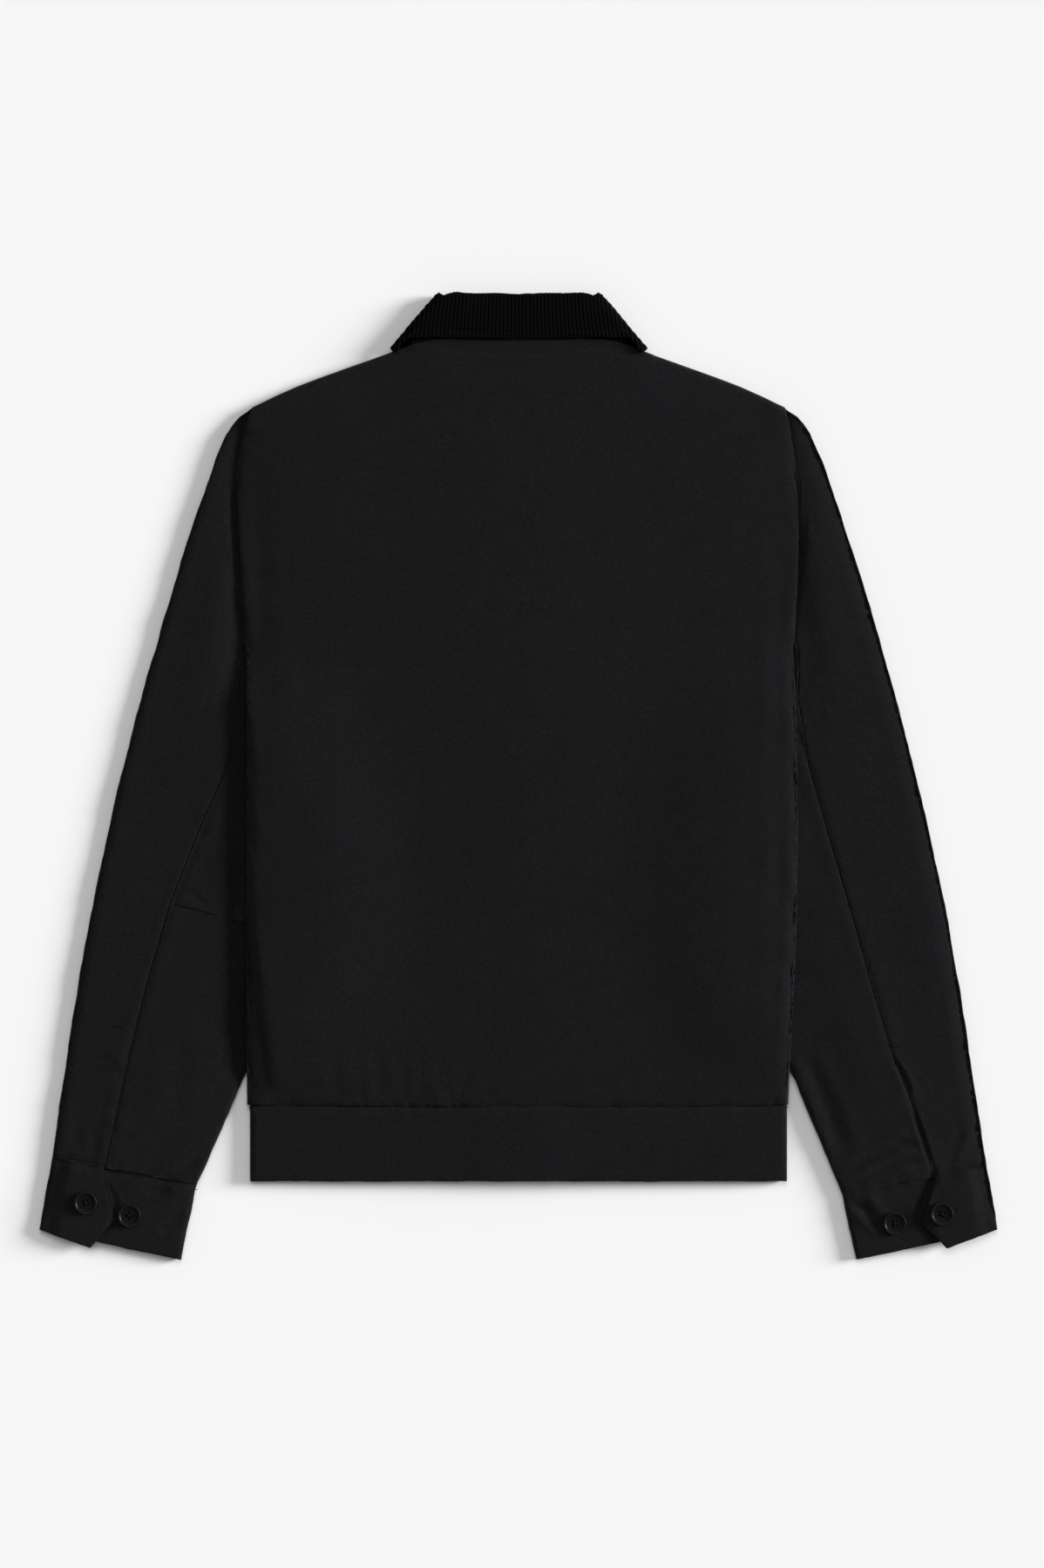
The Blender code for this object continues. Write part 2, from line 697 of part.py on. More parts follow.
def sleeve_ends(side, station):
    """The inner and outer ends of a sleeve ring, seen from above."""
    drop = side.cuff_seam_drop * ease(station - LAST_STATION + 1)
    inner = sleeve_inner(side, station)
    outer = PlanPoint(station_value(0, station), station_value(1, station))
    shift = PlanPoint(CUFF_SHIFT.out * drop, CUFF_SHIFT.y * drop)
    ends = (inner, outer)
    return [PlanPoint(end.out + shift.out, end.y + shift.y) for end in ends]


def inner_way(side, station):
    """The plan direction from a sleeve's inner edge into the sleeve."""
    inner, outer = sleeve_ends(side, station)
    across = unit(outer.out - inner.out, outer.y - inner.y)
    above = sleeve_inner(side, max(station - EDGE_STEP, 0.0))
    below = sleeve_inner(side, min(station + EDGE_STEP, LAST_STATION))
    down = unit(below.out - above.out, below.y - above.y)
    share = ease(station / CAP_STATIONS)
    return unit(mix(across.out, -down.y, share), mix(across.y, down.out, share))


def sleeve_plan(side, station, point, share):
    """A plan point of a sleeve ring, bowed along the armhole at the sleeve's top."""
    armhole_y = mix(UNDERARM_Y, SHOULDER_POINT_Y, share)
    armhole_start = sleeve_inner(side, 0).out
    bulge = body_edge(side, armhole_y) + ARMHOLE_GAP - mix(armhole_start, SHOULDER_POINT_X, share)
    out = point.out + bulge * (1 - ease(station / CAP_STATIONS))
    return side.sign * out, point.y


def cuff_pucker(station, share):
    """Depth of the small puckers where the sleeve is gathered into the cuff."""
    away = LAST_STATION - station
    depth = 0.0
    for pucker in CUFF_PUCKERS:
        across = math.exp(-((share - pucker.at) / CUFF_PUCKER_WIDTH) ** 2)
        depth += pucker.depth * across * math.exp(-((away / pucker.reach) ** 2))
    return depth


def sleeve_point(side, station, around, inset):
    """A point of a sleeve's wall.

    around runs 0 to 1 over the top from the inner edge, 1 to 2 round the outer
    edge, 2 to 3 back under the sleeve and 3 to 4 round the inner edge.
    """
    inner, outer = sleeve_ends(side, station)
    cap = SLEEVE_ROLL / math.dist(inner, outer)
    radius = SLEEVE_ROLL - inset
    quarter = int(around) % 4
    part = around - int(around)
    way = inner_way(side, station)
    flat_start = PlanPoint(inner.out + way.out * SLEEVE_ROLL, inner.y + way.y * SLEEVE_ROLL)
    flat_end = mix_points(inner, outer, 1 - cap)
    if quarter == 0:
        share = mix(cap, 1 - cap, part)
        point = mix_points(flat_start, flat_end, part)
        fade = mix(CROWN_AT_TOP, 1, ease(station / CROWN_TOP_RUN))
        fade *= mix(CROWN_AT_CUFF, 1, ease((LAST_STATION - station) / CROWN_CUFF_RUN))
        z = SLEEVE_ROLL + radius + SLEEVE_CROWN * fade * math.sin(math.pi * part) ** CROWN_POWER
        if inset == 0:
            z -= cuff_pucker(station, share)
    elif quarter == 1:
        share = 1 - cap + cap * radius / SLEEVE_ROLL * math.sin(part * math.pi)
        point = mix_points(inner, outer, share)
        z = SLEEVE_ROLL + radius * math.cos(part * math.pi)
    elif quarter == 2:
        share = mix(1 - cap, cap, part)
        point = mix_points(flat_end, flat_start, part)
        z = inset
    else:
        share = cap - cap * radius / SLEEVE_ROLL * math.sin(part * math.pi)
        point = mix_points(inner, flat_start, share / cap)
        z = SLEEVE_ROLL - radius * math.cos(part * math.pi)
    x, y = sleeve_plan(side, station, point, share)
    return x, y, z


def seam_around(side, station):
    """Where the sleeve's back seam lies on its top, as a share of the flat part."""
    inner, outer = sleeve_ends(side, station)
    cap = SLEEVE_ROLL / math.dist(inner, outer)
    share = station_value(4 if side is LEFT else 5, station)
    return max((share - cap) / (1 - 2 * cap), LEAST_SEAM_SHARE)


def sleeve_wall(side, name, stations, around_of, material):
    """One sleeve piece through rings at some stations and places around them."""
    grids = []
    for inset in (0.0, SLEEVE_WALL):
        rows = []
        for station in stations:
            rows.append([sleeve_point(side, station, around, inset) for around in around_of(station)])
        grids.append(rows)
    add_wall(f"{side.name}_{name}", grids[0], grids[1], material)


def sleeve(side, material):
    """A sleeve's three pieces: top sleeve and the under sleeve's two parts."""
    front_seam = 3 - FRONT_SEAM_SHARE
    gap = SLEEVE_SEAM_GAP / 2 / SLEEVE_TOP_WIDTH

    def top_sleeve(station):
        start = seam_around(side, station) + gap
        return spread(start, 1, 8) + spread(1, 2, 5)[1:] + spread(2, front_seam - gap, 6)[1:]

    def under_sleeve(station):
        end = 4 + seam_around(side, station) - gap
        return spread(front_seam + gap, 3, 3) + spread(3, 4, 5)[1:] + spread(4, end, 4)[1:]

    upper = SLEEVE_STATIONS[:-1] + (ELBOW_STATION - ELBOW_GAP,)
    lower = (ELBOW_STATION + ELBOW_GAP,) + FOREARM_STATIONS[1:]
    sleeve_wall(side, "top_sleeve", SLEEVE_STATIONS + FOREARM_STATIONS[1:], top_sleeve, material)
    sleeve_wall(side, "under_sleeve_upper", upper, under_sleeve, material)
    sleeve_wall(side, "under_sleeve_lower", lower, under_sleeve, material)


def cuff_point(side, down, around, inset):
    """A point of a cuff's wall.

    around runs 0 to 1 across the tab side of the top, 1 to 2 round the outer edge,
    2 to 3 back under the cuff, 3 to 4 round the inner edge and 4 to 5 over the
    underlap.
    """
    top_inner, top_outer = sleeve_ends(side, LAST_STATION)
    drop = SEAM_GAP
    top_inner = PlanPoint(top_inner.out + CUFF_SHIFT.out * drop, top_inner.y - drop)
    top_outer = PlanPoint(top_outer.out + CUFF_SHIFT.out * drop, top_outer.y - drop)
    inner = mix_points(top_inner, CUFF_INNER_CORNER, down)
    outer = mix_points(top_outer, CUFF_OUTER_CORNER, down)
    width = math.dist(inner, outer)
    cap = CUFF_ROLL / width
    radius = CUFF_ROLL - inset
    part = around - int(around)
    droop = 0.0
    if around <= 1:
        share = mix(0, 1 - cap, around)
        rise = TAB_RISE * (1 - ease((share - TAB_RISE_END) / (TAB_RISE_START - TAB_RISE_END)))
        z = CUFF_ROLL + radius + rise
        droop = TAB_DROOP * (1 - share) * width * down
    elif around < 2:
        share = 1 - cap + radius / width * math.sin(part * math.pi)
        z = CUFF_ROLL + radius * math.cos(part * math.pi)
        droop = TAB_DROOP * cap * width * down * (1 - part)
    elif around < 3:
        share = mix(1 - cap, cap, part)
        z = inset
    elif around < 4:
        share = cap - radius / width * math.sin(part * math.pi)
        z = CUFF_ROLL - radius * math.cos(part * math.pi)
    else:
        share = mix(cap, UNDERLAP_END_SHARE, around - 4)
        z = CUFF_ROLL + radius
    point = mix_points(inner, outer, share)
    return side.sign * point.out, point.y - droop, z


def tab_end(down):
    """Where the pointed tab ends, as a share across the cuff."""
    if down <= TAB_END_KEYS[1]:
        return mix(TAB_END_SHARES[0], TAB_END_SHARES[1], down / TAB_END_KEYS[1])
    rest = (down - TAB_END_KEYS[1]) / (1 - TAB_END_KEYS[1])
    return mix(TAB_END_SHARES[1], TAB_END_SHARES[2], rest)


def cuff(side, material):
    """A cuff: one band from the pointed tab right round to the underlap's end."""
    grids = []
    for inset in (0.0, CUFF_WALL):
        rows = []
        for down in CUFF_ROWS:
            flat_part = 1 - CUFF_ROLL / CUFF_WIDTH
            start = tab_end(down) / flat_part
            tab = spread(start, TAB_RISE_END / flat_part, 4)
            tab += [TAB_RISE_MIDDLE / flat_part, TAB_RISE_START / flat_part]
            around = tab + spread(1, 2, 5) + spread(2, 3, 5)[1:] + spread(3, 4, 5)[1:]
            around += spread(4, 5, 6)[1:]
            rows.append([cuff_point(side, down, place, inset) for place in around])
        grids.append(rows)
    add_wall(f"{side.name}_cuff", grids[0], grids[1], material)


def collar_stations():
    """Every section of the collar from its left front end round to its right."""
    half = [(station, -90.0) for station in COLLAR_FRONT]
    half += [(COLLAR_TURN, angle) for angle in spread(-90.0, 90.0, COLLAR_TURN_STEPS)]
    half += [(station, 90.0) for station in COLLAR_BACK]
    left = [(station, angle, -1.0) for station, angle in half]
    right = [(station, angle, 1.0) for station, angle in reversed(half[:-1])]
    return left + right


def collar(material):
    """The collar: a stand that rises from the neck seam and a fall turned over it."""
    turn = COLLAR_TURN
    along = unit(turn.fold.out - turn.edge.out, turn.fold.y - turn.edge.y)
    outward = PlanPoint(along.y, -along.out)
    fold_radius = (FALL_TURN - STAND_TURN) / 2
    fold_turn = (FALL_TURN + STAND_TURN) / 2
    outer = []
    inner = []
    for station, angle, sign in collar_stations():
        level = math.cos(math.radians(angle))
        up = math.sin(math.radians(angle))
        to_fold = unit(station.fold.out - station.neck.out, station.fold.y - station.neck.y)
        from_edge = unit(station.fold.out - station.edge.out, station.fold.y - station.edge.y)
        crest = unit(to_fold.out + from_edge.out, to_fold.y + from_edge.y)

        def place(plan, turn_radius, crest_reach=0.0):
            out = plan.out + outward.out * level * turn_radius + crest.out * crest_reach
            y = plan.y + outward.y * level * turn_radius + crest.y * crest_reach
            return sign * out, y, COLLAR_MID_Z + up * turn_radius

        for column, offset in ((outer, COLLAR_WALL / 2), (inner, -COLLAR_WALL / 2)):
            points = []
            for share in STAND_SHARES:
                points.append(place(mix_points(station.neck, station.fold, share), STAND_TURN - offset))
            for fold_angle in FOLD_ANGLES:
                across = math.sin(math.radians(fold_angle)) * (fold_radius + offset)
                reach = math.cos(math.radians(fold_angle)) * (fold_radius + offset)
                points.append(place(station.fold, fold_turn + across, reach))
            for share in FALL_SHARES:
                points.append(place(mix_points(station.fold, station.edge, share), FALL_TURN + offset))
            column.append(points)
    add_wall("collar", outer, inner, material)


def button(name, x, y, z, material):
    """A round dished button standing at a point."""
    bm = bmesh.new()
    rings = []
    for radius, height in BUTTON_PROFILE:
        if radius == 0:
            rings.append([bm.verts.new((x, y, z + height))])
            continue
        angles = [2 * math.pi * step / BUTTON_STEPS for step in range(BUTTON_STEPS)]
        points = [(x + radius * math.cos(a), y + radius * math.sin(a), z + height) for a in angles]
        rings.append([bm.verts.new(point) for point in points])
    for low, high in zip(rings, rings[1:]):
        for step in range(BUTTON_STEPS):
            after = (step + 1) % BUTTON_STEPS
            corners = [low[step % len(low)], low[after % len(low)], high[after % len(high)], high[step % len(high)]]
            bm.faces.new(list(dict.fromkeys(corners)))
    add_object(name, bm, material)


def cuff_buttons(side, material):
    """A cuff's fastened button on its tab and its spare one on the underlap."""
    tab_z = CUFF_TOP_Z + TAB_RISE + SEAM_GAP
    for name, place, z in (
        ("tab_button", side.tab_button, tab_z),
        ("spare_button", side.spare_button, CUFF_TOP_Z + SEAM_GAP),
    ):
        button(f"{side.name}_{name}", side.sign * place.out, place.y, z, material)


def finish(name, colour, roughness):
    """A plain surface of one colour and roughness."""
    material = bpy.data.materials.new(name)
    material.use_nodes = True
    shader = material.node_tree.nodes["Principled BSDF"]
    shader.inputs["Base Color"].default_value = (*colour, 1.0)
    shader.inputs["Roughness"].default_value = roughness
    shader.inputs["Metallic"].default_value = 0.0
    return material


def main():
    """Clear the scene and build every piece of the jacket."""
    for old in list(bpy.data.objects):
        bpy.data.objects.remove(old, do_unlink=True)
    shell = finish("shell_cloth", SHELL_COLOUR, 0.85)
    corduroy = finish("corduroy", CORDUROY_COLOUR, 0.9)
    button_plastic = finish("button_plastic", BUTTON_COLOUR, 0.35)
    back_wall(shell)
    band_back(shell)
    for side in (LEFT, RIGHT):
        front_wall(side, shell)
        band_front(side, shell)
        sleeve(side, shell)
        cuff(side, shell)
        cuff_buttons(side, button_plastic)
    collar(corduroy)
    for number, y in enumerate(FRONT_BUTTON_Y, start=1):
        button(f"front_button_{number}", 0.0, y, 0.0, button_plastic)


if __name__ == "__main__":
    main()
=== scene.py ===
"""Looks of a waist-length jacket laid flat with its back up.

The cloth panels are thin sheets worked from the frame's own solids: refined,
smoothed and given their creases, puckers and seams. The collar is
ribbed corduroy, and the buttons, thread, tacks and buttonholes are modelled.
"""

import logging
import math
from dataclasses import dataclass, field
from enum import Enum
from typing import Any, ClassVar, Iterable, Optional, Sequence

import bmesh
import bpy
import numpy as np
from mathutils import Matrix, Vector
from mathutils.bvhtree import BVHTree


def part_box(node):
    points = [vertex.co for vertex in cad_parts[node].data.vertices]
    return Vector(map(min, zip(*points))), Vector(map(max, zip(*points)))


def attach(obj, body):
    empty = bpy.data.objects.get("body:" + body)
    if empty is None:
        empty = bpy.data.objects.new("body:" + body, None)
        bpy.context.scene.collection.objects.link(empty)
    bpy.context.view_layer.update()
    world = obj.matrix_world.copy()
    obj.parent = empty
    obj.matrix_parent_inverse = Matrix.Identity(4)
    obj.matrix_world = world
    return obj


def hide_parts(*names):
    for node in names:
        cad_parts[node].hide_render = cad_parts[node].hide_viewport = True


log = logging.getLogger("jacket")

PHOTO_WIDTH = 1198
PHOTO_HEIGHT = 1800
PIXELS_PER_METRE = 1470.0
CENTRE_PX = (595.0, 890.77)
MM = 0.001
BODY = "root"
FAR = 1.0  # the distance of a point that is out of a line's reach
COVER_REACH = 0.0065  # cloth with other cloth this close over it counts as hidden
SLIVER = 0.0006  # shorter edges are merged away
CROWDED = 0.0025  # between inner points, so are the edges shorter than this
INNER_ANGLE = 0.5  # a point is inner where no edge at it folds by more
LEVEL_ANGLE = 0.012  # where an edge folds by less, its triangles may be cut anew
UNDERSIDE = 2.6  # how much longer an edge may be where the cloth looks down

Points = np.ndarray
Place = tuple[float, float]


def place(px: float, py: float) -> Place:
    """The point of the frame, in metres, that lies at a point of the photograph."""
    return (px - CENTRE_PX[0]) / PIXELS_PER_METRE, (CENTRE_PX[1] - py) / PIXELS_PER_METRE


def soft_step(low: float, high: float, value: Any) -> Any:
    """A smooth rise from 0 at low to 1 at high."""
    share = np.clip((value - low) / (high - low), 0, 1)
    return share * share * (3 - 2 * share)


def bell(value: Points) -> Points:
    """A smooth bell, 1 at 0."""
    return np.exp(-(value**2))


def directions(points: Points) -> Points:
    """The direction of a line at each of its points."""
    along = np.gradient(points, axis=0)
    return along / np.linalg.norm(along, axis=1)[:, None]


def facing(corners: Points) -> Points:
    """The direction that each triangle looks in, as long as twice its area."""
    return np.cross(corners[:, 1] - corners[:, 0], corners[:, 2] - corners[:, 0])


def deselect_all() -> None:
    """Leave nothing selected, so that an operator acts only on what comes next."""
    if bpy.context.object and bpy.context.object.mode != "OBJECT":
        bpy.ops.object.mode_set(mode="OBJECT")
    bpy.ops.object.select_all(action="DESELECT")


def add_object(name: str, data: bpy.types.ID) -> bpy.types.Object:
    """Put some data into the scene as an object."""
    made = bpy.data.objects.new(name, data)
    bpy.context.scene.collection.objects.link(made)
    return made


def mesh_object(
    name: str, points: Points, faces: list[Any], material: bpy.types.Material
) -> bpy.types.Object:
    """Make a smooth-shaded object at the origin.

    Args:
        name: its name.
        points: one row of three numbers for each point, in metres.
        faces: the point numbers of each face.
        material: its material.

    Returns:
        The object.
    """
    mesh = bpy.data.meshes.new(name)
    mesh.from_pydata(points.tolist(), [], faces)
    mesh.materials.append(material)
    mesh.shade_smooth()
    return add_object(name, mesh)


def mark_points(mesh: bpy.types.Mesh, name: str, values: Points) -> None:
    """Give each point of a mesh a value that its material reads."""
    made = mesh.attributes.new(name, "FLOAT", "POINT")
    made.data.foreach_set("value", values.astype(np.float32))


def tree_of(objects: Iterable[bpy.types.Object]) -> BVHTree:
    """The surfaces of some objects as one tree for casting rays."""
    points: list[Vector] = []
    faces: list[tuple[int, ...]] = []
    for each in objects:
        start = len(points)
        points.extend(vertex.co.copy() for vertex in each.data.vertices)
        faces.extend(tuple(start + i for i in face.vertices) for face in each.data.polygons)
    return BVHTree.FromPolygons(points, faces)


@dataclass(frozen=True)
class Unevenness:
    """Smooth seeded noise over a plane, from -1 to 1.

    Attributes:
        seed: which of the fields of noise this is.
        size: how wide its swells are, in metres.
    """

    seed: int
    size: float
    cells: ClassVar[int] = 64

    def at(self, x: Points, y: Points) -> Points:
        """The noise at some points, given by their x and y in metres."""
        lattice = np.random.default_rng(self.seed).uniform(-1, 1, (self.cells, self.cells))
        column, row = x / self.size, y / self.size
        column_low, row_low = np.floor(column).astype(int), np.floor(row).astype(int)
        across, up = soft_step(0, 1, column - column_low), soft_step(0, 1, row - row_low)
        values = []
        for step in (0, 1):
            near = lattice[(row_low + step) % self.cells, column_low % self.cells]
            far = lattice[(row_low + step) % self.cells, (column_low + 1) % self.cells]
            values.append(near * (1 - across) + far * across)
        return values[0] * (1 - up) + values[1] * up


@dataclass(frozen=True)
class Line:
    """An open line on the jacket, seen from above, through points in photograph pixels.

    Attributes:
        pixels: the points that it runs through.
        shift: how far it is moved to its left, in metres.
    """

    pixels: tuple[Place, ...]
    shift: float = 0.0
    steps: ClassVar[int] = 6

    def points(self) -> Points:
        """The line's points in the frame, rounded by a smooth curve."""
        points = np.array([place(*pixel) for pixel in self.pixels])
        if len(points) > 2:
            points = smooth_line(points, self.steps)
        if self.shift:
            along = directions(points)
            points = points + self.shift * np.stack([-along[:, 1], along[:, 0]], axis=1)
        return points

    def mirrored(self, shift: float) -> "Line":
        """The same line on the jacket's other side, with a shift of its own."""
        return Line(tuple((2 * CENTRE_PX[0] - px, py) for px, py in self.pixels), shift)

    def spots(self, spacing: float) -> tuple[Points, Points]:
        """Points spaced evenly along the line.

        Args:
            spacing: the distance between them, in metres.

        Returns:
            The points, and the line's direction at each.
        """
        points = self.points()
        lengths = np.linalg.norm(np.diff(points, axis=0), axis=1)
        run = np.concatenate([[0], np.cumsum(lengths)])
        where = np.linspace(0, run[-1], max(2, int(run[-1] / spacing) + 1))
        even = np.stack([np.interp(where, run, points[:, axis]) for axis in (0, 1)], axis=1)
        return even, directions(even)

    def near(self, x: Points, y: Points, reach: float) -> Points:
        """Whether each point lies in the line's box, made larger by a reach in metres."""
        points = self.points()
        low, high = points.min(0) - reach, points.max(0) + reach
        return (x > low[0]) & (x < high[0]) & (y > low[1]) & (y < high[1])

    def measure(self, x: Points, y: Points, reach: float) -> tuple[Points, Points, float]:
        """How some points lie to the line.

        Args:
            x: their x, in metres.
            y: their y, in metres.
            reach: how far from the line a point still counts, in metres.

        Returns:
            Each point's distance, positive on the line's left, how far along the
            line it is nearest, both in metres, and the line's whole length.
        """
        points = self.points()
        best, signed = np.full(len(x), FAR), np.full(len(x), FAR)
        along, run = np.zeros(len(x)), 0.0
        for start, end in zip(points, points[1:]):
            length = float(np.linalg.norm(end - start))
            unit = (end - start) / max(length, 1e-9)
            middle, half = (start + end) / 2, length / 2 + reach
            near = np.flatnonzero((np.abs(x - middle[0]) < half) & (np.abs(y - middle[1]) < half))
            out_x, out_y = x[near] - start[0], y[near] - start[1]
            share = out_x * unit[0] + out_y * unit[1]
            clipped = np.clip(share, 0, length)
            gap = np.hypot(out_x - clipped * unit[0], out_y - clipped * unit[1])
            closer = gap < best[near]
            chosen = near[closer]
            left = out_y * unit[0] - out_x * unit[1]
            best[chosen] = gap[closer]
            signed[chosen] = np.where(left < 0, -gap, gap)[closer]
            along[chosen] = (run + share)[closer]
            run += length
        return signed, along, run


def smooth_line(points: Points, steps: int) -> Points:
    """A smooth curve through points, by Catmull and Rom's rule.

    Args:
        points: the points, two or three numbers each.
        steps: how many pieces each stretch between two points is cut into.

    Returns:
        The points along the curve.
    """
    padded = np.vstack([2 * points[0] - points[1], points, 2 * points[-1] - points[-2]])
    found = []
    for index in range(1, len(padded) - 2):
        before, start, end, after = padded[index - 1 : index + 3]
        for share in np.arange(steps) / steps:
            bend = 2 * before - 5 * start + 4 * end - after
            turn = -before + 3 * start - 3 * end + after
            value = 2 * start + (end - before) * share + bend * share**2 + turn * share**3
            found.append(value / 2)
    return np.vstack([*found, points[-1]])


class Feature:
    """Something that shapes the cloth; on all panels, unless it names its own."""

    on: tuple[str, ...] = ()

    def height(self, x: Points, y: Points) -> Points:
        """What it adds to the cloth's height at some points, all in metres."""
        raise NotImplementedError


@dataclass(frozen=True)
class Crease(Feature):
    """A soft uneven trough, or a ridge, pressed into the cloth.

    Attributes:
        line: where it runs.
        depth: how deep it is, in millimetres; a ridge's is negative.
        width: its half width, in millimetres.
        lean: how much gentler its left side is than its right one.
        swell: the height of the soft ridge beside it, as a share of its depth.
    """

    line: Line
    depth: float
    width: float
    lean: float = 1.0
    swell: float = 0.45

    def height(self, x: Points, y: Points) -> Points:
        """What it adds to the cloth's height; see Feature.height."""
        reach = 4 * self.width * MM * max(self.lean, 1)
        near = self.line.near(x, y, reach)
        signed, along, length = self.line.measure(x[near], y[near], reach)
        uneven = Unevenness(int(abs(self.line.points()[0].sum()) * 1e4) % 997, 0.03)
        wide = self.width * MM * (1 + 0.25 * uneven.at(along, along * 0 + 0.1))
        scaled = signed / np.where(signed > 0, wide * self.lean, wide)
        taper = soft_step(0, 0.3 * length, along) * soft_step(0, 0.3 * length, length - along)
        trough = bell(scaled) - self.swell * bell(np.abs(scaled) - 2.1)
        strength = 1 + 0.3 * uneven.at(along, along * 0 + 0.9)
        total = np.zeros(len(x))
        total[near] = -self.depth * MM * trough * taper * strength
        return total


@dataclass(frozen=True)
class Pucker(Feature):
    """Small irregular gathers along a seam, and the seam's own dip.

    Attributes:
        line: the seam.
        depth: how deep the gathers are, in millimetres.
        pitch: how far apart they are, in millimetres.
        reach: how far from the seam they run, in millimetres.
        dip: how deep the seam is pulled in, in millimetres.
    """

    line: Line
    depth: float
    pitch: float
    reach: float
    dip: float
    dip_width: ClassVar[float] = 0.0022
    roll_out: ClassVar[float] = 0.006
    roll_width: ClassVar[float] = 0.004

    def height(self, x: Points, y: Points) -> Points:
        """What it adds to the cloth's height; see Feature.height."""
        points = self.line.points()
        reach = 3 * self.reach * MM + 0.01
        near = self.line.near(x, y, reach)
        signed, along, length = self.line.measure(x[near], y[near], reach)
        gap = np.abs(signed)
        seed = int(abs(points.sum()) * 1e3) % 991
        gather = Unevenness(seed, self.pitch * MM).at(along, signed * 0.35)
        broad = Unevenness(seed + 1, 6 * self.pitch * MM).at(along, signed * 0.2)
        fade = bell(gap / (self.reach * MM * (1 + 0.4 * broad)))
        inside = soft_step(-0.004, 0.004, along) * soft_step(-0.004, 0.004, length - along)
        value = self.depth * gather * (0.65 + 0.5 * broad) * fade
        roll = bell((gap - self.roll_out) / self.roll_width)
        dip = self.dip * bell(gap / self.dip_width) - 0.35 * self.dip * roll
        total = np.zeros(len(x))
        total[near] = (value - dip) * inside * MM
        return total


@dataclass(frozen=True)
class Swell(Feature):
    """A broad soft rise or hollow of the cloth.

    Attributes:
        at: its middle, in photograph pixels.
        size: its half width and half length, in millimetres.
        rise: its height, in millimetres.
        turn: how far it is turned to the left, in degrees.
    """

    at: Place
    size: tuple[float, float]
    rise: float
    turn: float = 0.0

    def height(self, x: Points, y: Points) -> Points:
        """What it adds to the cloth's height; see Feature.height."""
        middle = place(*self.at)
        angle = math.radians(self.turn)
        across = (x - middle[0]) * math.cos(angle) + (y - middle[1]) * math.sin(angle)
        up = -(x - middle[0]) * math.sin(angle) + (y - middle[1]) * math.cos(angle)
        far = (across / self.size[0] / MM) ** 2 + (up / self.size[1] / MM) ** 2
        return self.rise * MM * np.exp(-far)


@dataclass(frozen=True)
class Fall(Feature):
    """A stretch of cloth that slopes down on one side of a line, as over a rolled edge.

    Attributes:
        line: where the slope starts.
        drop: how far it goes down, in millimetres.
        width: how wide the slope is, in millimetres.
        side: 1 where it lies on the line's left, -1 where it lies on its right.
        on: the panels that it shapes.
    """

    line: Line
    drop: float
    width: float
    side: int
    on: tuple[str, ...]

    def height(self, x: Points, y: Points) -> Points:
        """What it adds to the cloth's height; see Feature.height."""
        signed, along, length = self.line.measure(x, y, 3 * self.width * MM)
        uneven = 1 + 0.3 * Unevenness(int(self.drop * 100) % 83, 0.035).at(x, y)
        share = np.clip(self.side * signed / (self.width * MM), 0, 1.15)
        taper = soft_step(-0.002, 0.02, along) * soft_step(-0.002, 0.02, length - along)
        fallen = -self.drop * MM * share**1.7 * taper * uneven
        return np.where(np.abs(signed) < FAR, fallen, 0.0)


@dataclass(frozen=True)
class Closing:
    """A panel's rim drawn across the fine gap of a seam, in under its neighbour.

    Attributes:
        line: the seam.
        way: the direction that the rim is drawn in, seen from above.
        pull: how far, in metres.
        whole: how far from the seam the cloth moves all the way, in metres.
        fade: how far from the seam it still moves at all, in metres.
    """

    line: Line
    way: Place
    pull: float = 0.0014
    whole: float = 0.0015
    fade: float = 0.006

    def close(self, shell: "Shell") -> None:
        """Draw the rim in."""
        gap = np.abs(self.line.measure(shell.points[:, 0], shell.points[:, 1], 0.02)[0])
        move = self.pull * (1 - soft_step(self.whole, self.fade, gap))
        for axis in (0, 1):
            shell.points[:, axis] += self.way[axis] * move


class Signal:
    """One shader value, so that shader maths reads as plain arithmetic."""

    def __init__(self, graph: "Graph", socket: bpy.types.NodeSocket) -> None:
        """Keep the socket and the graph that it belongs to."""
        self.graph = graph
        self.socket = socket

    def _maths(self, operation: str, *values: Any) -> "Signal":
        """A Math node on one or two values."""
        return self.graph.node("ShaderNodeMath", {"operation": operation}, dict(enumerate(values)))

    def __add__(self, other: Any) -> "Signal":
        """This value and another added."""
        return self._maths("ADD", self, other)

    def __radd__(self, other: Any) -> "Signal":
        """Another value and this one added."""
        return self._maths("ADD", other, self)

    def __sub__(self, other: Any) -> "Signal":
        """Another value taken from this one."""
        return self._maths("SUBTRACT", self, other)

    def __rsub__(self, other: Any) -> "Signal":
        """This value taken from another."""
        return self._maths("SUBTRACT", other, self)

    def __mul__(self, other: Any) -> "Signal":
        """This value times another."""
        return self._maths("MULTIPLY", self, other)

    def __rmul__(self, other: Any) -> "Signal":
        """Another value times this one."""
        return self._maths("MULTIPLY", other, self)

    def __pow__(self, power: Any) -> "Signal":
        """This value raised to a power."""
        return self._maths("POWER", self, power)

    def __rpow__(self, base: Any) -> "Signal":
        """Another value raised to this one."""
        return self._maths("POWER", base, self)

    def larger(self, other: Any) -> "Signal":
        """The larger of this value and another."""
        return self._maths("MAXIMUM", self, other)

    def fraction(self) -> "Signal":
        """What is left over its last whole number."""
        return self._maths("FRACT", self)

    def wave(self) -> "Signal":
        """The sine of this value."""
        return self._maths("SINE", self)

    def size(self) -> "Signal":
        """This value without its sign."""
        return self._maths("ABSOLUTE", self)


Colour = tuple[float, float, float, float]


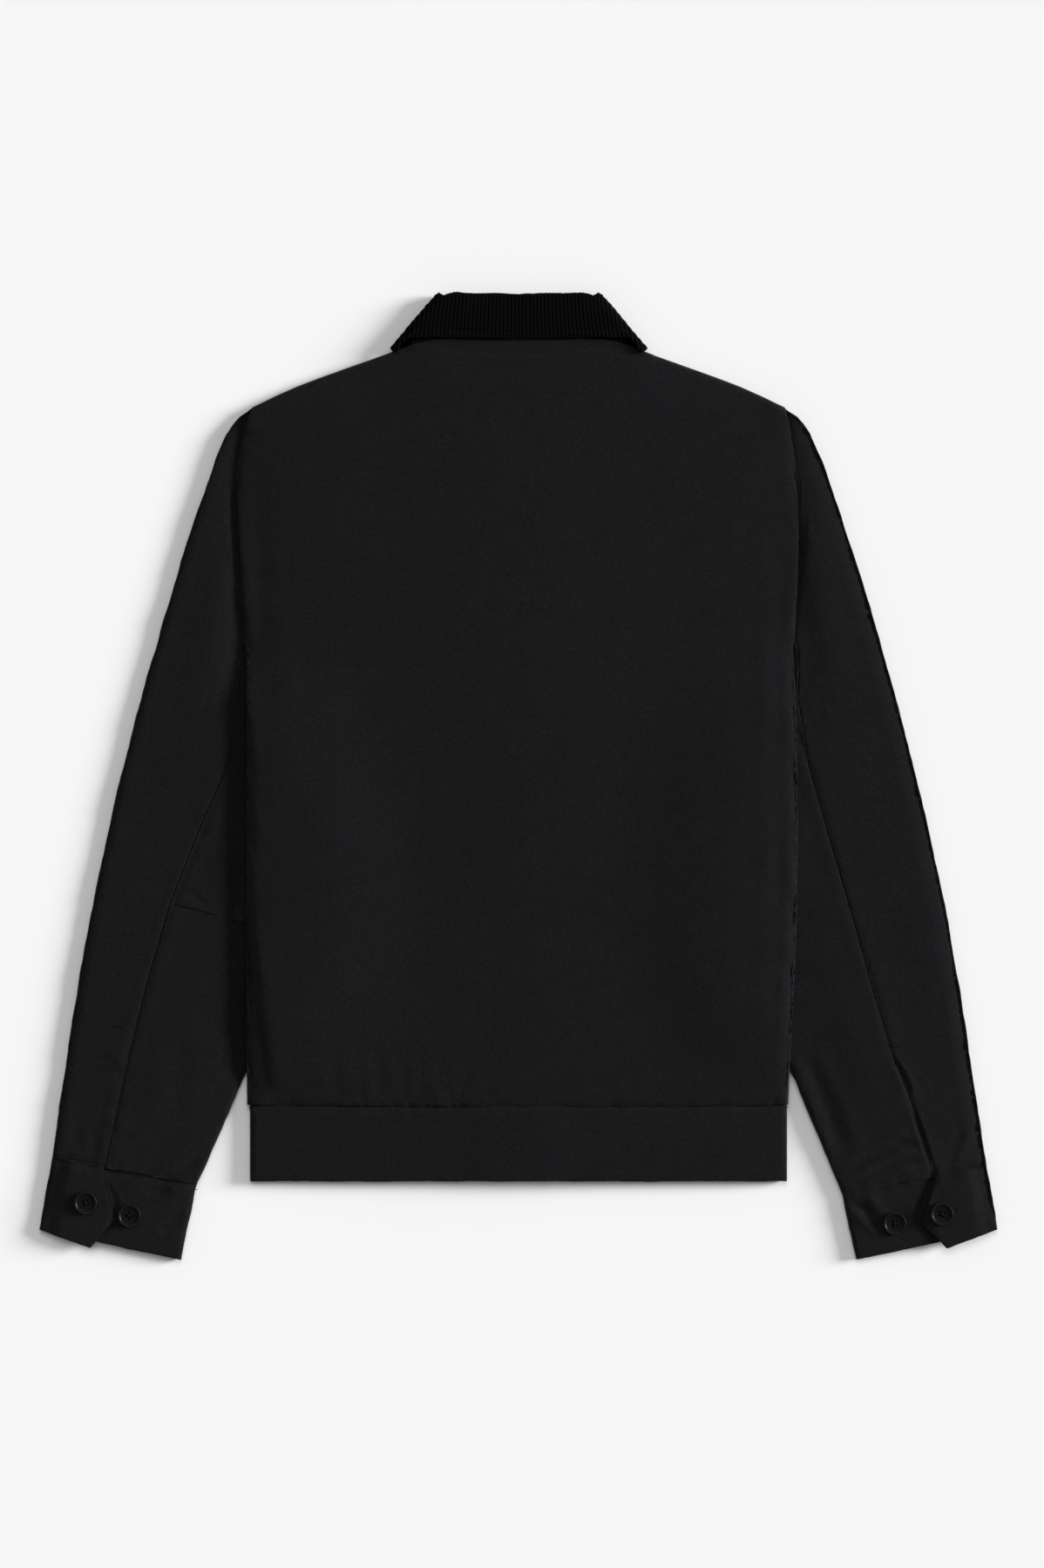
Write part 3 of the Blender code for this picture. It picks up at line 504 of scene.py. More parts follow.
class Graph:
    """A material's nodes, made and joined by one method."""

    def __init__(self, name: str) -> None:
        """Start a material with its output and the point being shaded, in the frame."""
        self.material = bpy.data.materials.new(name)
        self.material.use_nodes = True
        self.tree = self.material.node_tree
        self.tree.nodes.clear()
        self.point = self.node("ShaderNodeTexCoord", {}, {}, "Object")

    def node(
        self, kind: str, choices: dict[str, Any], inputs: dict[Any, Any], output: Any = 0
    ) -> Signal:
        """Add a node.

        Args:
            kind: the node's type.
            choices: its settings, by name.
            inputs: the value or signal of each socket, by name or number.
            output: which of its outputs is wanted, by name or number.

        Returns:
            That output's signal.
        """
        node = self.tree.nodes.new(kind)
        for name, value in choices.items():
            setattr(node, name, value)
        for key, value in inputs.items():
            if isinstance(value, Signal):
                self.tree.links.new(value.socket, node.inputs[key])
            else:
                node.inputs[key].default_value = value
        return Signal(self, node.outputs[output] if len(node.outputs) else None)

    def mix(self, share: Signal, first: Colour, second: Colour) -> Signal:
        """A colour between two colours."""
        inputs = {0: share, 6: first, 7: second}
        return self.node("ShaderNodeMix", {"data_type": "RGBA"}, inputs, 2)

    def axis(self, name: str) -> Signal:
        """The X, Y or Z of the point being shaded."""
        return self.node("ShaderNodeSeparateXYZ", {}, {0: self.point}, name)

    def noise(self, scale: float, detail: float = 2.0, roughness: float = 0.5) -> Signal:
        """Smooth noise from 0 to 1, with a scale in swells a metre."""
        inputs = {"Vector": self.point, "Scale": scale, "Detail": detail, "Roughness": roughness}
        return self.node("ShaderNodeTexNoise", {}, inputs)

    def bump(self, strength: float, distance: float, height: Signal) -> Signal:
        """The surface's direction, tipped by fine relief."""
        inputs = {"Strength": strength, "Distance": distance, "Height": height}
        return self.node("ShaderNodeBump", {}, inputs)

    def mark(self, name: str) -> Signal:
        """A value that the mesh's points carry."""
        return self.node("ShaderNodeAttribute", {"attribute_name": name}, {}, "Fac")

    def finish(
        self, colour: Signal, roughness: Any, specular: float, others: dict[str, Any]
    ) -> bpy.types.Material:
        """Close the material with a Principled surface.

        Args:
            colour: its colour.
            roughness: its roughness.
            specular: how strongly it mirrors, 0.5 being usual.
            others: its other values and signals, by socket name.

        Returns:
            The finished material.
        """
        inputs = {"Base Color": colour, "Roughness": roughness, "Specular IOR Level": specular}
        surface = self.node("ShaderNodeBsdfPrincipled", {}, {**inputs, **others})
        self.node("ShaderNodeOutputMaterial", {}, {"Surface": surface})
        return self.material


def grey(value: float, blue: float = 1.0) -> Colour:
    """A neutral colour, or one a little bluer."""
    return value, value * (1 + 0.25 * (blue - 1)), value * blue, 1.0


def dusk(value: float) -> Colour:
    """A grey with a breath of violet, as on the washed cloth."""
    return value * 1.01, value * 0.97, value * 1.14, 1.0


@dataclass(frozen=True)
class ShellCloth:
    """Near-black cotton in a fine plain weave, dry and slightly napped.

    Attributes:
        thread: the spacing of its threads, in metres.
        tone: how light it is.
    """

    thread: float = 0.00075
    tone: float = 0.0055

    def material(self) -> bpy.types.Material:
        """The woven cloth's material."""
        graph = Graph("shell cloth")
        drift = graph.noise(310.0)
        turns = 2 * math.pi / self.thread
        warp = (graph.axis("X") * turns + drift * 7.0).wave()
        weft = (graph.axis("Y") * turns + drift * 6.0).wave()
        weave = warp * weft
        slub = graph.noise(900.0, 3.0, 0.7)
        fleck = graph.noise(420.0, 2.0, 0.6)
        mottle = graph.noise(45.0, 4.0, 0.65)
        shade = (weave * 0.2 + slub * 1.8 + fleck * 1.2 + mottle * 0.35 - 1.17).larger(0.0)
        colour = graph.mix(shade, dusk(self.tone * 0.35), dusk(self.tone * 1.65))
        relief = graph.bump(0.8, 0.00026, weave * 0.6 + slub * 1.6 + fleck * 0.8)
        sheen = {"Weight": 0.05, "Roughness": 0.45, "Tint": (0.8, 0.85, 1.0, 1.0)}
        others = {f"Sheen {name}": value for name, value in sheen.items()}
        return graph.finish(colour, slub * 0.12 + 0.78, 0.1, {"Normal": relief, **others})


@dataclass(frozen=True)
class Corduroy:
    """Black fine-wale corduroy: its colour is darker in the grooves between its ribs, as
    painted shade, and lighter on the ribs' tops, as painted highlight.

    Attributes:
        rib: the mark that counts the ribs across the collar.
        groove: how wide the ribs are for their grooves, as a power.
    """

    rib: str = "rib"
    groove: float = 1.5

    def material(self) -> bpy.types.Material:
        """The ribbed cloth's material."""
        graph = Graph("corduroy")
        # The ribs' profile sets the colour: painted shade in the grooves, painted highlight on the
        # ribs' tops; the pile and patch noise are the cloth's own tone.
        height = 1.0 - (graph.mark(self.rib).fraction() * 2.0 - 1.0).size() ** self.groove
        pile = graph.noise(1500.0, 3.0, 0.7)
        patch = graph.noise(60.0, 3.0, 0.6)
        shade = (height * 1.1 + pile * 0.4 + patch * 0.2 - 0.45).larger(0.0)
        colour = graph.mix(shade, grey(0.0001), grey(0.0042, 1.03))
        relief = graph.bump(0.5, 0.0003, pile)
        return graph.finish(colour, pile * 0.1 + 0.86, 0.02, {"Normal": relief})


@dataclass(frozen=True)
class ButtonPlastic:
    """Near-black moulded plastic with a satin gloss on its rim.

    Attributes:
        rim: the mark that is 1 on a button's rim.
    """

    rim: str = "rim"

    def material(self) -> bpy.types.Material:
        """The buttons' material."""
        graph = Graph("button plastic")
        cloud = graph.noise(400.0, 3.0, 0.6)
        scuff = graph.noise(2600.0, 2.0, 0.6)
        colour = graph.mix(cloud, grey(0.0032, 1.03), grey(0.0052, 1.03))
        coat = {"Coat Weight": graph.mark(self.rim) * 0.16, "Coat Roughness": 0.3}
        relief = graph.bump(0.15, 0.0001, scuff)
        return graph.finish(colour, cloud * 0.16 + 0.4, 0.05, {"Normal": relief, **coat})


@dataclass(frozen=True)
class Thread:
    """Twisted sewing thread, darker than the cloth: partly its own dark colour, partly painted
    shade of stitches sunk into the cloth.

    Attributes:
        tone: how light it is; kept below the cloth's, as painted shade of the sunk stitches.
    """

    tone: float = 0.0032

    def material(self) -> bpy.types.Material:
        """The thread's material."""
        graph = Graph("thread")
        twist = graph.noise(3000.0, 2.0, 0.6)
        # The dark colour is partly the thread's own and partly painted shade where the stitches
        # sink.
        colour = graph.mix(twist, grey(self.tone * 0.6, 1.1), grey(self.tone * 1.5, 1.1))
        relief = graph.bump(0.4, 0.0001, twist)
        return graph.finish(colour, twist * 0.15 + 0.5, 0.08, {"Normal": relief})


@dataclass(frozen=True)
class PaleFloor:
    """The plain pale surface that the jacket lies on.

    Attributes:
        tones: its darkest and its lightest grey.
    """

    tones: Place = (0.885, 0.905)

    def material(self) -> bpy.types.Material:
        """The floor's material."""
        graph = Graph("pale floor")
        colour = graph.mix(graph.noise(3.0), *(grey(tone) for tone in self.tones))
        return graph.finish(colour, 0.9, 0.1, {})


class Shell:
    """A panel's surface as loose numbers: its points, its triangles and which are seen."""

    def __init__(self, points: Points, faces: Points, hidden: Points) -> None:
        """Keep the surface.

        Args:
            points: one row of three numbers for each point, in metres.
            faces: three point numbers for each triangle.
            hidden: for each triangle, whether other cloth lies right over it.
        """
        self.points = points
        self.faces = faces
        self.hidden = hidden

    @classmethod
    def of_node(cls, name: str, cover: BVHTree) -> "Shell":
        """The surface of one of the frame's solids, its crowded facets thinned out.

        Args:
            name: the solid's node.
            cover: every solid, to see what lies over each triangle.

        Returns:
            The surface.
        """
        work = bmesh.new()
        work.from_mesh(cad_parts[name].data)
        bmesh.ops.remove_doubles(work, verts=work.verts, dist=1e-6)
        bmesh.ops.dissolve_degenerate(work, dist=SLIVER, edges=work.edges)
        inner = {
            vertex
            for vertex in work.verts
            if all(edge.calc_face_angle(math.pi) < INNER_ANGLE for edge in vertex.link_edges)
        }
        crowded = [edge for edge in work.edges if inner.issuperset(edge.verts)]
        bmesh.ops.dissolve_degenerate(work, dist=CROWDED, edges=crowded)
        bmesh.ops.triangulate(work, faces=work.faces)
        level = [edge for edge in work.edges if edge.calc_face_angle(math.pi) < LEVEL_ANGLE]
        bmesh.ops.beautify_fill(work, faces=work.faces, edges=level, method="ANGLE")
        mesh = bpy.data.meshes.new(name)
        work.to_mesh(mesh)
        work.free()
        points = np.array([vertex.co for vertex in mesh.vertices], float)
        faces = np.array([polygon.vertices for polygon in mesh.polygons], int)
        bpy.data.meshes.remove(mesh)
        return cls(points, faces, cls.covered(points[faces], cover))

    @staticmethod
    def covered(corners: Points, cover: BVHTree) -> Points:
        """Whether other cloth lies right over each triangle, at four spots of it.

        Args:
            corners: the three corners of each triangle.
            cover: every solid.

        Returns:
            One answer for each triangle.
        """
        normals = facing(corners)
        normals /= np.maximum(np.linalg.norm(normals, axis=1), 1e-15)[:, None]
        hidden = np.ones(len(corners), bool)
        middle = corners.mean(axis=1)
        for spot in (middle, *(0.8 * corners[:, i] + 0.2 * middle for i in range(3))):
            for index in np.flatnonzero(hidden):
                start = Vector(spot[index] + normals[index] * 2e-5)
                hit = cover.ray_cast(start, Vector(normals[index]), COVER_REACH)[0]
                hidden[index] = hit is not None
        return hidden

    def split(self, longest: float) -> bool:
        """Halve each side of the seen triangles that is too long.

        Args:
            longest: the longest that a side may be, in metres, where the cloth looks up.

        Returns:
            Whether any was halved.
        """
        pairs = np.stack([self.faces, np.roll(self.faces, -1, axis=1)], axis=2).reshape(-1, 2)
        edges, back = np.unique(np.sort(pairs, axis=1), axis=0, return_inverse=True)
        back = back.reshape(-1)
        length = np.linalg.norm(self.points[edges[:, 0]] - self.points[edges[:, 1]], axis=1)
        upward = facing(self.points[self.faces])[:, 2] > 0
        long = np.zeros(len(edges), bool)
        for which, most in ((~self.hidden & upward, longest), (~self.hidden, longest * UNDERSIDE)):
            seen = np.zeros(len(edges), bool)
            seen[back[np.repeat(which, 3)]] = True
            long |= seen & (length > most)
        if not long.any():
            return False
        fresh = np.full(len(edges), -1)
        fresh[long] = len(self.points) + np.arange(long.sum())
        self.points = np.concatenate([self.points, self.points[edges[long]].mean(axis=1)])
        mids = fresh[back].reshape(-1, 3)
        whole = np.flatnonzero((mids < 0).all(axis=1))
        made, kept = [self.faces[whole]], [self.hidden[whole]]
        for turn in range(3):
            a, b, c = np.roll(self.faces, -turn, axis=1).T
            ab, bc, ca = np.roll(mids, -turn, axis=1).T
            one = np.flatnonzero((ab >= 0) & (bc < 0) & (ca < 0))
            two = np.flatnonzero((ab >= 0) & (bc >= 0) & (ca < 0))
            cuts = [(one, (a, ab, c)), (one, (ab, b, c))]
            cuts += [(two, corners) for corners in ((ab, b, bc), (a, ab, bc), (a, bc, c))]
            if turn == 0:
                three = np.flatnonzero((mids >= 0).all(axis=1))
                fan = ((a, ab, ca), (ab, b, bc), (ca, bc, c), (ab, bc, ca))
                cuts += [(three, corners) for corners in fan]
            for which, corners in cuts:
                made.append(np.stack([column[which] for column in corners], axis=1))
                kept.append(self.hidden[which])
        self.faces = np.concatenate(made)
        self.hidden = np.concatenate(kept)
        return True

    def refine(self, longest: float) -> None:
        """Halve sides until none of the seen ones is too long."""
        while self.split(longest):
            continue

    def normals(self) -> Points:
        """Each point's outward direction, from the seen triangles round it."""
        across = facing(self.points[self.faces])
        across[self.hidden] *= 1e-3
        total = np.zeros_like(self.points)
        for index in range(3):
            for axis in range(3):
                total[:, axis] += np.bincount(
                    self.faces[:, index], across[:, axis], len(self.points)
                )
        return total / np.maximum(np.linalg.norm(total, axis=1), 1e-15)[:, None]

    def free_points(self) -> Points:
        """Whether each point lies on seen triangles only."""
        free = np.ones(len(self.points), bool)
        free[self.faces[self.hidden].reshape(-1)] = False
        return free

    @staticmethod
    def sides(faces: Points) -> Points:
        """The two point numbers of each side of some triangles."""
        return np.concatenate([faces[:, [0, 1]], faces[:, [1, 2]], faces[:, [2, 0]]])

    def smooth(self, rounds: int, steepest: float = 0.6) -> None:
        """Even out the facets: each free point takes the mean height of its neighbours.

        Args:
            rounds: how many times it is done.
            steepest: sides that climb more than this are left out.
        """
        pairs = self.sides(self.faces[~self.hidden])
        gap = self.points[pairs[:, 0]] - self.points[pairs[:, 1]]
        level = np.abs(gap[:, 2]) < steepest * np.hypot(gap[:, 0], gap[:, 1])
        pairs = np.concatenate([pairs[level], pairs[level][:, ::-1]])
        count = np.bincount(pairs[:, 0], minlength=len(self.points))
        free = self.free_points() & (count > 3)
        for _ in range(rounds):
            height = self.points[:, 2]
            mean = np.bincount(pairs[:, 0], height[pairs[:, 1]], len(self.points))
            mean = mean / np.maximum(count, 1)
            self.points[:, 2] = np.where(free, 0.35 * height + 0.65 * mean, height)

    def relax(self, weight: Points, rounds: int) -> None:
        """Round off the surface: each point moves toward the middle of its neighbours.

        Args:
            weight: how far each point moves, from 0 to 1.
            rounds: how many times it is done.
        """
        pairs = self.sides(self.faces)
        pairs = np.concatenate([pairs, pairs[:, ::-1]])
        count = np.maximum(np.bincount(pairs[:, 0], minlength=len(self.points)), 1)
        for _ in range(rounds):
            for axis in range(3):
                value = self.points[:, axis]
                mean = np.bincount(pairs[:, 0], value[pairs[:, 1]], len(value)) / count
                self.points[:, axis] = value + 0.6 * weight * (mean - value)


@dataclass(frozen=True)
class Armhole:
    """Where a sleeve is sewn to the body, so that its end is drawn in under the body's edge.

    Attributes:
        rows: height, and how far out the body's left and right edges lie, in metres.
        pull: how far the sleeve's end is drawn in, in metres.
        fade: from how far out to how far out of the edge that fades away, in metres.
        foot: the heights between which it sets in.
    """

    rows: tuple[tuple[float, float, float], ...] = (
        (0.0364, 0.2124, 0.2172),
        (0.1026, 0.2129, 0.2150),
        (0.1705, 0.2177, 0.2190),
        (0.2250, 0.2197, 0.2176),
        (0.2655, 0.2155, 0.2135),
        (0.2883, 0.2082, 0.2082),
    )
    pull: float = 0.0013
    fade: tuple[float, float] = (0.0025, 0.009)
    foot: tuple[float, float] = (0.025, 0.045)

    def close(self, shell: Shell) -> None:
        """Draw a sleeve's end in under the body's edge."""
        x, y = shell.points[:, 0], shell.points[:, 1]
        heights, left, right = zip(*self.rows)
        edge = np.where(x < 0, np.interp(y, heights, left), np.interp(y, heights, right))
        near = 1 - soft_step(*self.fade, np.abs(x) - edge)
        shell.points[:, 0] -= np.sign(x) * self.pull * near * soft_step(*self.foot, y)


@dataclass(frozen=True)
class Lie:
    """How the whole garment lies: every panel takes its height from the same rules.

    Attributes:
        top: what shapes the cloth that faces up.
        under: what shapes the cloth that faces the floor.
        wobble: how far the rolled edges wander, in millimetres.
        side_more: how much more they wander along the body's sides.
        side_out: how far out of the middle the sides start and end, in metres.
        side_up: the heights where the sides start and end, in metres.
        slope: from how level on the cloth counts as facing up or down.
    """

    top: tuple[Feature, ...]
    under: tuple[Feature, ...] = ()
    wobble: float = 0.5
    side_more: float = 1.6
    side_out: tuple[Place, Place] = ((0.185, 0.2), (0.222, 0.232))
    side_up: tuple[Place, Place] = ((-0.26, -0.2), (0.2, 0.27))
    slope: Place = (0.35, 0.9)

    def wander(self, x: Points, y: Points) -> Points:
        """How far the rolled edges are off their line at some points, -1 to 1 or so."""
        found = Unevenness(71, 0.017).at(x, y) + 0.5 * Unevenness(72, 0.006).at(x, y)
        side = np.ones(len(x))
        for value, (start, end) in ((np.abs(x), self.side_out), (y, self.side_up)):
            side *= soft_step(*start, value) * (1 - soft_step(*end, value))
        return found * (1 + self.side_more * side)

    def press(self, shell: Shell, name: str) -> None:
        """Press the creases into a panel.

        Args:
            shell: the panel's surface.
            name: the panel's solid.
        """
        normals = shell.normals()
        x, y = shell.points[:, 0].copy(), shell.points[:, 1].copy()
        up = soft_step(*self.slope, normals[:, 2])
        down = soft_step(*self.slope, -normals[:, 2])
        rise = sum(each.height(x, y) for each in self.top if not each.on or name in each.on)
        lift = sum((each.height(x, y) for each in self.under), np.zeros(len(x)))
        free = shell.free_points()
        shell.points[:, 2] += up * np.where(free, 1.0, 0.85) * rise
        shell.points[:, 2] += down * np.abs(lift) * np.where(shell.points[:, 2] < 0.02, 1, 0)
        off = self.wobble * MM * (1 - up - down) * self.wander(x, y) * free
        for axis in (0, 1):
            shell.points[:, axis] += off * normals[:, axis]
        shell.points[:, 2] = np.maximum(shell.points[:, 2], 0.0)


@dataclass(frozen=True)
class Panel:
    """One cut piece of the garment's cloth, worked from its solid.

    Attributes:
        node: the solid that it stands for, and its own name with cloth added.
        flat: the width and length of the rectangle that it was cut from, in metres; not used.
        area: the area of the cut, in square metres; not used.
        rests_on: what it lies on; not used.
        longest: the longest side of its triangles, in metres.
        rounds: how often its facets are evened out.
        slot: the record's material slot; not used.
        armhole: where it is sewn to the body, on a sleeve.
        closings: the seams that its rim is drawn across.
    """

    node: str
    flat: tuple[float, float]
    area: float
    rests_on: tuple[str, ...]
    longest: float = 0.003
    rounds: int = 18
    slot: str = "shell_cloth"
    armhole: Optional[Armhole] = None
    closings: tuple[Closing, ...] = ()
    coarser: ClassVar[float] = 2.0
    level: ClassVar[Place] = (0.97, 0.995)
    level_rounds: ClassVar[int] = 12

    @property
    def name(self) -> str:
        """The finished piece's name."""
        return f"{self.node}_cloth"

    def shape(self, shell: Shell, lie: Lie) -> dict[str, Points]:
        """Give the panel's surface its form.

        Args:
            shell: the surface.
            lie: the garment's creases.

        Returns:
            The marks that its points carry for the material, by name.
        """
        level = soft_step(*self.level, np.abs(shell.normals()[:, 2]))
        shell.relax(level * shell.free_points(), self.level_rounds)
        if self.armhole:
            self.armhole.close(shell)
        for closing in self.closings:
            closing.close(shell)
        lie.press(shell, self.node)
        return {}

    def build(self, cover: BVHTree, lie: Lie, material: bpy.types.Material) -> bpy.types.Object:
        """Work the panel and set it on the frame.

        Args:
            cover: every solid, to see what lies over the panel.
            lie: the garment's creases.
            material: the cloth's material.

        Returns:
            The finished piece.
        """
        shell = Shell.of_node(self.node, cover)
        shell.refine(self.longest * (1.0))
        shell.smooth(self.rounds)
        marks = self.shape(shell, lie)
        piece = mesh_object(self.name, shell.points, shell.faces.tolist(), material)
        for name, values in marks.items():
            mark_points(piece.data, name, values)
        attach(piece, BODY)
        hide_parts(self.node)
        log.info("%s: %d triangles", self.name, len(shell.faces))
        return piece


@dataclass(frozen=True)
class RibbedCollar(Panel):
    """The turn-down collar, with its ribs as real relief.

    Attributes:
        pitch: the width of a rib, in metres.
        rib_height: how high a rib stands, in metres.
        fan: how much the ribs lean outward at the collar's ends.
        fold: the height of the collar's fold, in metres.
        corner: how far out its top corners are and how wide, in metres.
        corner_up: the heights between which a corner's rounding sets in.
    """

    pitch: float = 0.0029
    rib_height: float = 0.00042
    fan: float = 0.2
    fold: float = 0.375
    corner: tuple[float, float] = (0.062, 0.013)
    corner_up: tuple[float, float] = (0.352, 0.362)
    coarser: ClassVar[float] = 1.6

    def shape(self, shell: Shell, lie: Lie) -> dict[str, Points]:
        """Round off the collar's top corners and raise its ribs; see Panel.shape."""
        x, y = shell.points[:, 0], shell.points[:, 1]
        at_corner = bell((np.abs(x) - self.corner[0]) / self.corner[1])
        shell.relax(at_corner * soft_step(*self.corner_up, y), 2)
        lie.press(shell, self.node)
        normals = shell.normals()
        x, y = shell.points[:, 0], shell.points[:, 1]
        below_fold = np.clip(self.fold - y, 0, 0.06)
        across = x - np.sign(x) * self.fan * below_fold * np.clip(np.abs(x) / 0.09, 0, 1) ** 1.5
        across = across + Unevenness(31, 0.02).at(x, y) * 0.0003
        count = across / self.pitch
        rib = 1 - np.abs(2 * (count % 1.0) - 1) ** Corduroy.groove
        seen = np.zeros(len(x))
        seen[shell.faces[~shell.hidden].reshape(-1)] = 1
        shell.points += normals * (rib * self.rib_height * seen)[:, None]
        shell.points[:, 2] = np.maximum(shell.points[:, 2], 0)
        return {Corduroy.rib: count}


class Ground:
    """The finished cloth as something that stitches and tacks can be laid on."""

    def __init__(self, pieces: Iterable[bpy.types.Object]) -> None:
        """Gather the surfaces of the finished cloth."""
        self.tree = tree_of(pieces)

    def height(self, x: float, y: float, fallback: float = 0.008) -> float:
        """The cloth's height at a point seen from above."""
        hit = self.tree.ray_cast(Vector((x, y, 0.2)), Vector((0, 0, -1)))[0]
        return fallback if hit is None else hit.z


@dataclass(frozen=True)
class Stitch:
    """The measures of a machine stitch, in millimetres.

    Attributes:
        length: how long it is.
        gap: the bare cloth between it and the next.
        thick: the thread's thickness.
        sunk: how far the thread is pulled into the cloth.
    """

    length: float = 2.1
    gap: float = 0.8
    thick: float = 0.5
    sunk: float = 0.1


@dataclass
class Sewing:
    """Everything sewn with thread: rows of stitches, bar tacks and buttonholes.

    Attributes:
        ground: the finished cloth.
        material: the thread's material.
        tack: a bar tack's width, its threads' thickness and height, in millimetres.
        tack_pitch: how far apart its threads are, in millimetres.
        slit: the width of a buttonhole's slit, in millimetres.
        bar: the sizes of the bars along a buttonhole, in millimetres.
        end_bar: the sizes of those across its ends, in millimetres.
    """

    ground: Ground
    material: bpy.types.Material
    tack: tuple[float, float, float] = (1.7, 0.46, 0.6)
    tack_pitch: float = 0.42
    slit: float = 1.3
    bar: tuple[float, float, float] = (1.3, 0.5, 0.6)
    end_bar: tuple[float, float, float] = (1.2, 0.5, 0.6)

    def __post_init__(self) -> None:
        """Model one stitch, to be copied along every row."""
        deselect_all()
        bpy.ops.mesh.primitive_uv_sphere_add(segments=6, ring_count=5, radius=0.5)
        pattern = bpy.context.object
        bpy.ops.object.mode_set(mode="EDIT")
        bpy.ops.mesh.select_all(action="SELECT")
        bpy.ops.transform.rotate(value=math.pi / 2, orient_axis="Y", center_override=(0, 0, 0))
        bpy.ops.object.mode_set(mode="OBJECT")
        self.bead = np.array([vertex.co for vertex in pattern.data.vertices])
        self.bead_faces = [tuple(polygon.vertices) for polygon in pattern.data.polygons]
        bpy.data.objects.remove(pattern)

    def bead_at(
        self, at: Points, along: Points, sizes: tuple[float, float, float], sunk: float = 0.0
    ) -> Points:
        """One stitch, laid on the cloth.

        Args:
            at: its middle, seen from above.
            along: its direction, seen from above.
            sizes: its length, width and height, in millimetres.
            sunk: how far it is pulled into the cloth, in millimetres.

        Returns:
            Its points.
        """
        ends = [at + along * sizes[0] * MM * side for side in (-0.4, 0.4)]
        low, high = (self.ground.height(float(end[0]), float(end[1])) for end in ends)
        direction = np.array([*(ends[1] - ends[0]), high - low])
        direction /= np.linalg.norm(direction)
        side = np.array([-along[1], along[0], 0.0])
        up = np.cross(direction, side)
        middle = np.array([at[0], at[1], (low + high) / 2 - sunk * MM])
        scaled = self.bead * np.array(sizes) * MM
        return middle + scaled[:, :1] * direction + scaled[:, 1:2] * side + scaled[:, 2:] * up

    def join(self, name: str, beads: Sequence[Points]) -> None:
        """Make many beads one piece."""
        starts = range(0, len(beads) * len(self.bead), len(self.bead))
        faces = [tuple(start + i for i in face) for start in starts for face in self.bead_faces]
        made = mesh_object(name, np.concatenate(beads), faces, self.material)
        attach(made, BODY)
        log.info("%s: %d beads", name, len(beads))

    def rows(self, name: str, lines: Sequence[Line], stitch: Stitch = Stitch()) -> None:
        """Sew some rows of stitches as one piece.

        Args:
            name: the piece's name.
            lines: where the rows run.
            stitch: the measures of their stitches.
        """
        beads = []
        for line in lines:
            spots, along = line.spots((stitch.length + stitch.gap) * MM)
            sizes = (stitch.length, stitch.thick, stitch.thick * 0.8)
            drift = np.random.default_rng(len(spots)).normal(0, 0.05, (len(spots), 2)) * MM
            for spot, way, off in zip(spots, along, drift):
                beads.append(self.bead_at(spot + off, way, sizes, stitch.sunk))
        self.join(name, beads)

    def tacks(self, name: str, tacks: Sequence[tuple[Place, Place]]) -> None:
        """Sew some bar tacks as one piece.

        Args:
            name: the piece's name.
            tacks: the two ends of each, in photograph pixels.
        """
        beads = []
        for ends in tacks:
            start, end = (np.array(place(*spot)) for spot in ends)
            run = end - start
            length = float(np.linalg.norm(run))
            across = np.array([-run[1], run[0]]) / length
            count = int(length / (self.tack_pitch * MM))
            for number in range(count):
                at = start + run * (number + 0.5) / count
                tilt = across + run / length * (0.12 if number % 2 else -0.12)
                tilt /= np.linalg.norm(tilt)
                beads.append(self.bead_at(at, tilt, self.tack))
        self.join(name, beads)

    def buttonhole(self, name: str, start: Place, end: Place) -> None:
        """Sew a buttonhole: close bars along both sides of its slit and across its ends.

        Args:
            name: the piece's name.
            start: the slit's one end, in photograph pixels.
            end: its other end.
        """
        first, last = np.array(place(*start)), np.array(place(*end))
        run = last - first
        length = float(np.linalg.norm(run))
        way = run / length
        across = np.array([-way[1], way[0]])
        out = across * self.slit * MM
        count = int(length / (self.bar[1] * MM))
        beads = []
        for side in (-0.75, 0.75):
            for number in range(count + 1):
                at = first + run * number / count + out * side
                beads.append(self.bead_at(at, across, self.bar, 0.05))
        for spot in (first, last):
            for number in range(-3, 4):
                beads.append(self.bead_at(spot + out * number * 0.33, way, self.end_bar))
        self.join(name, beads)


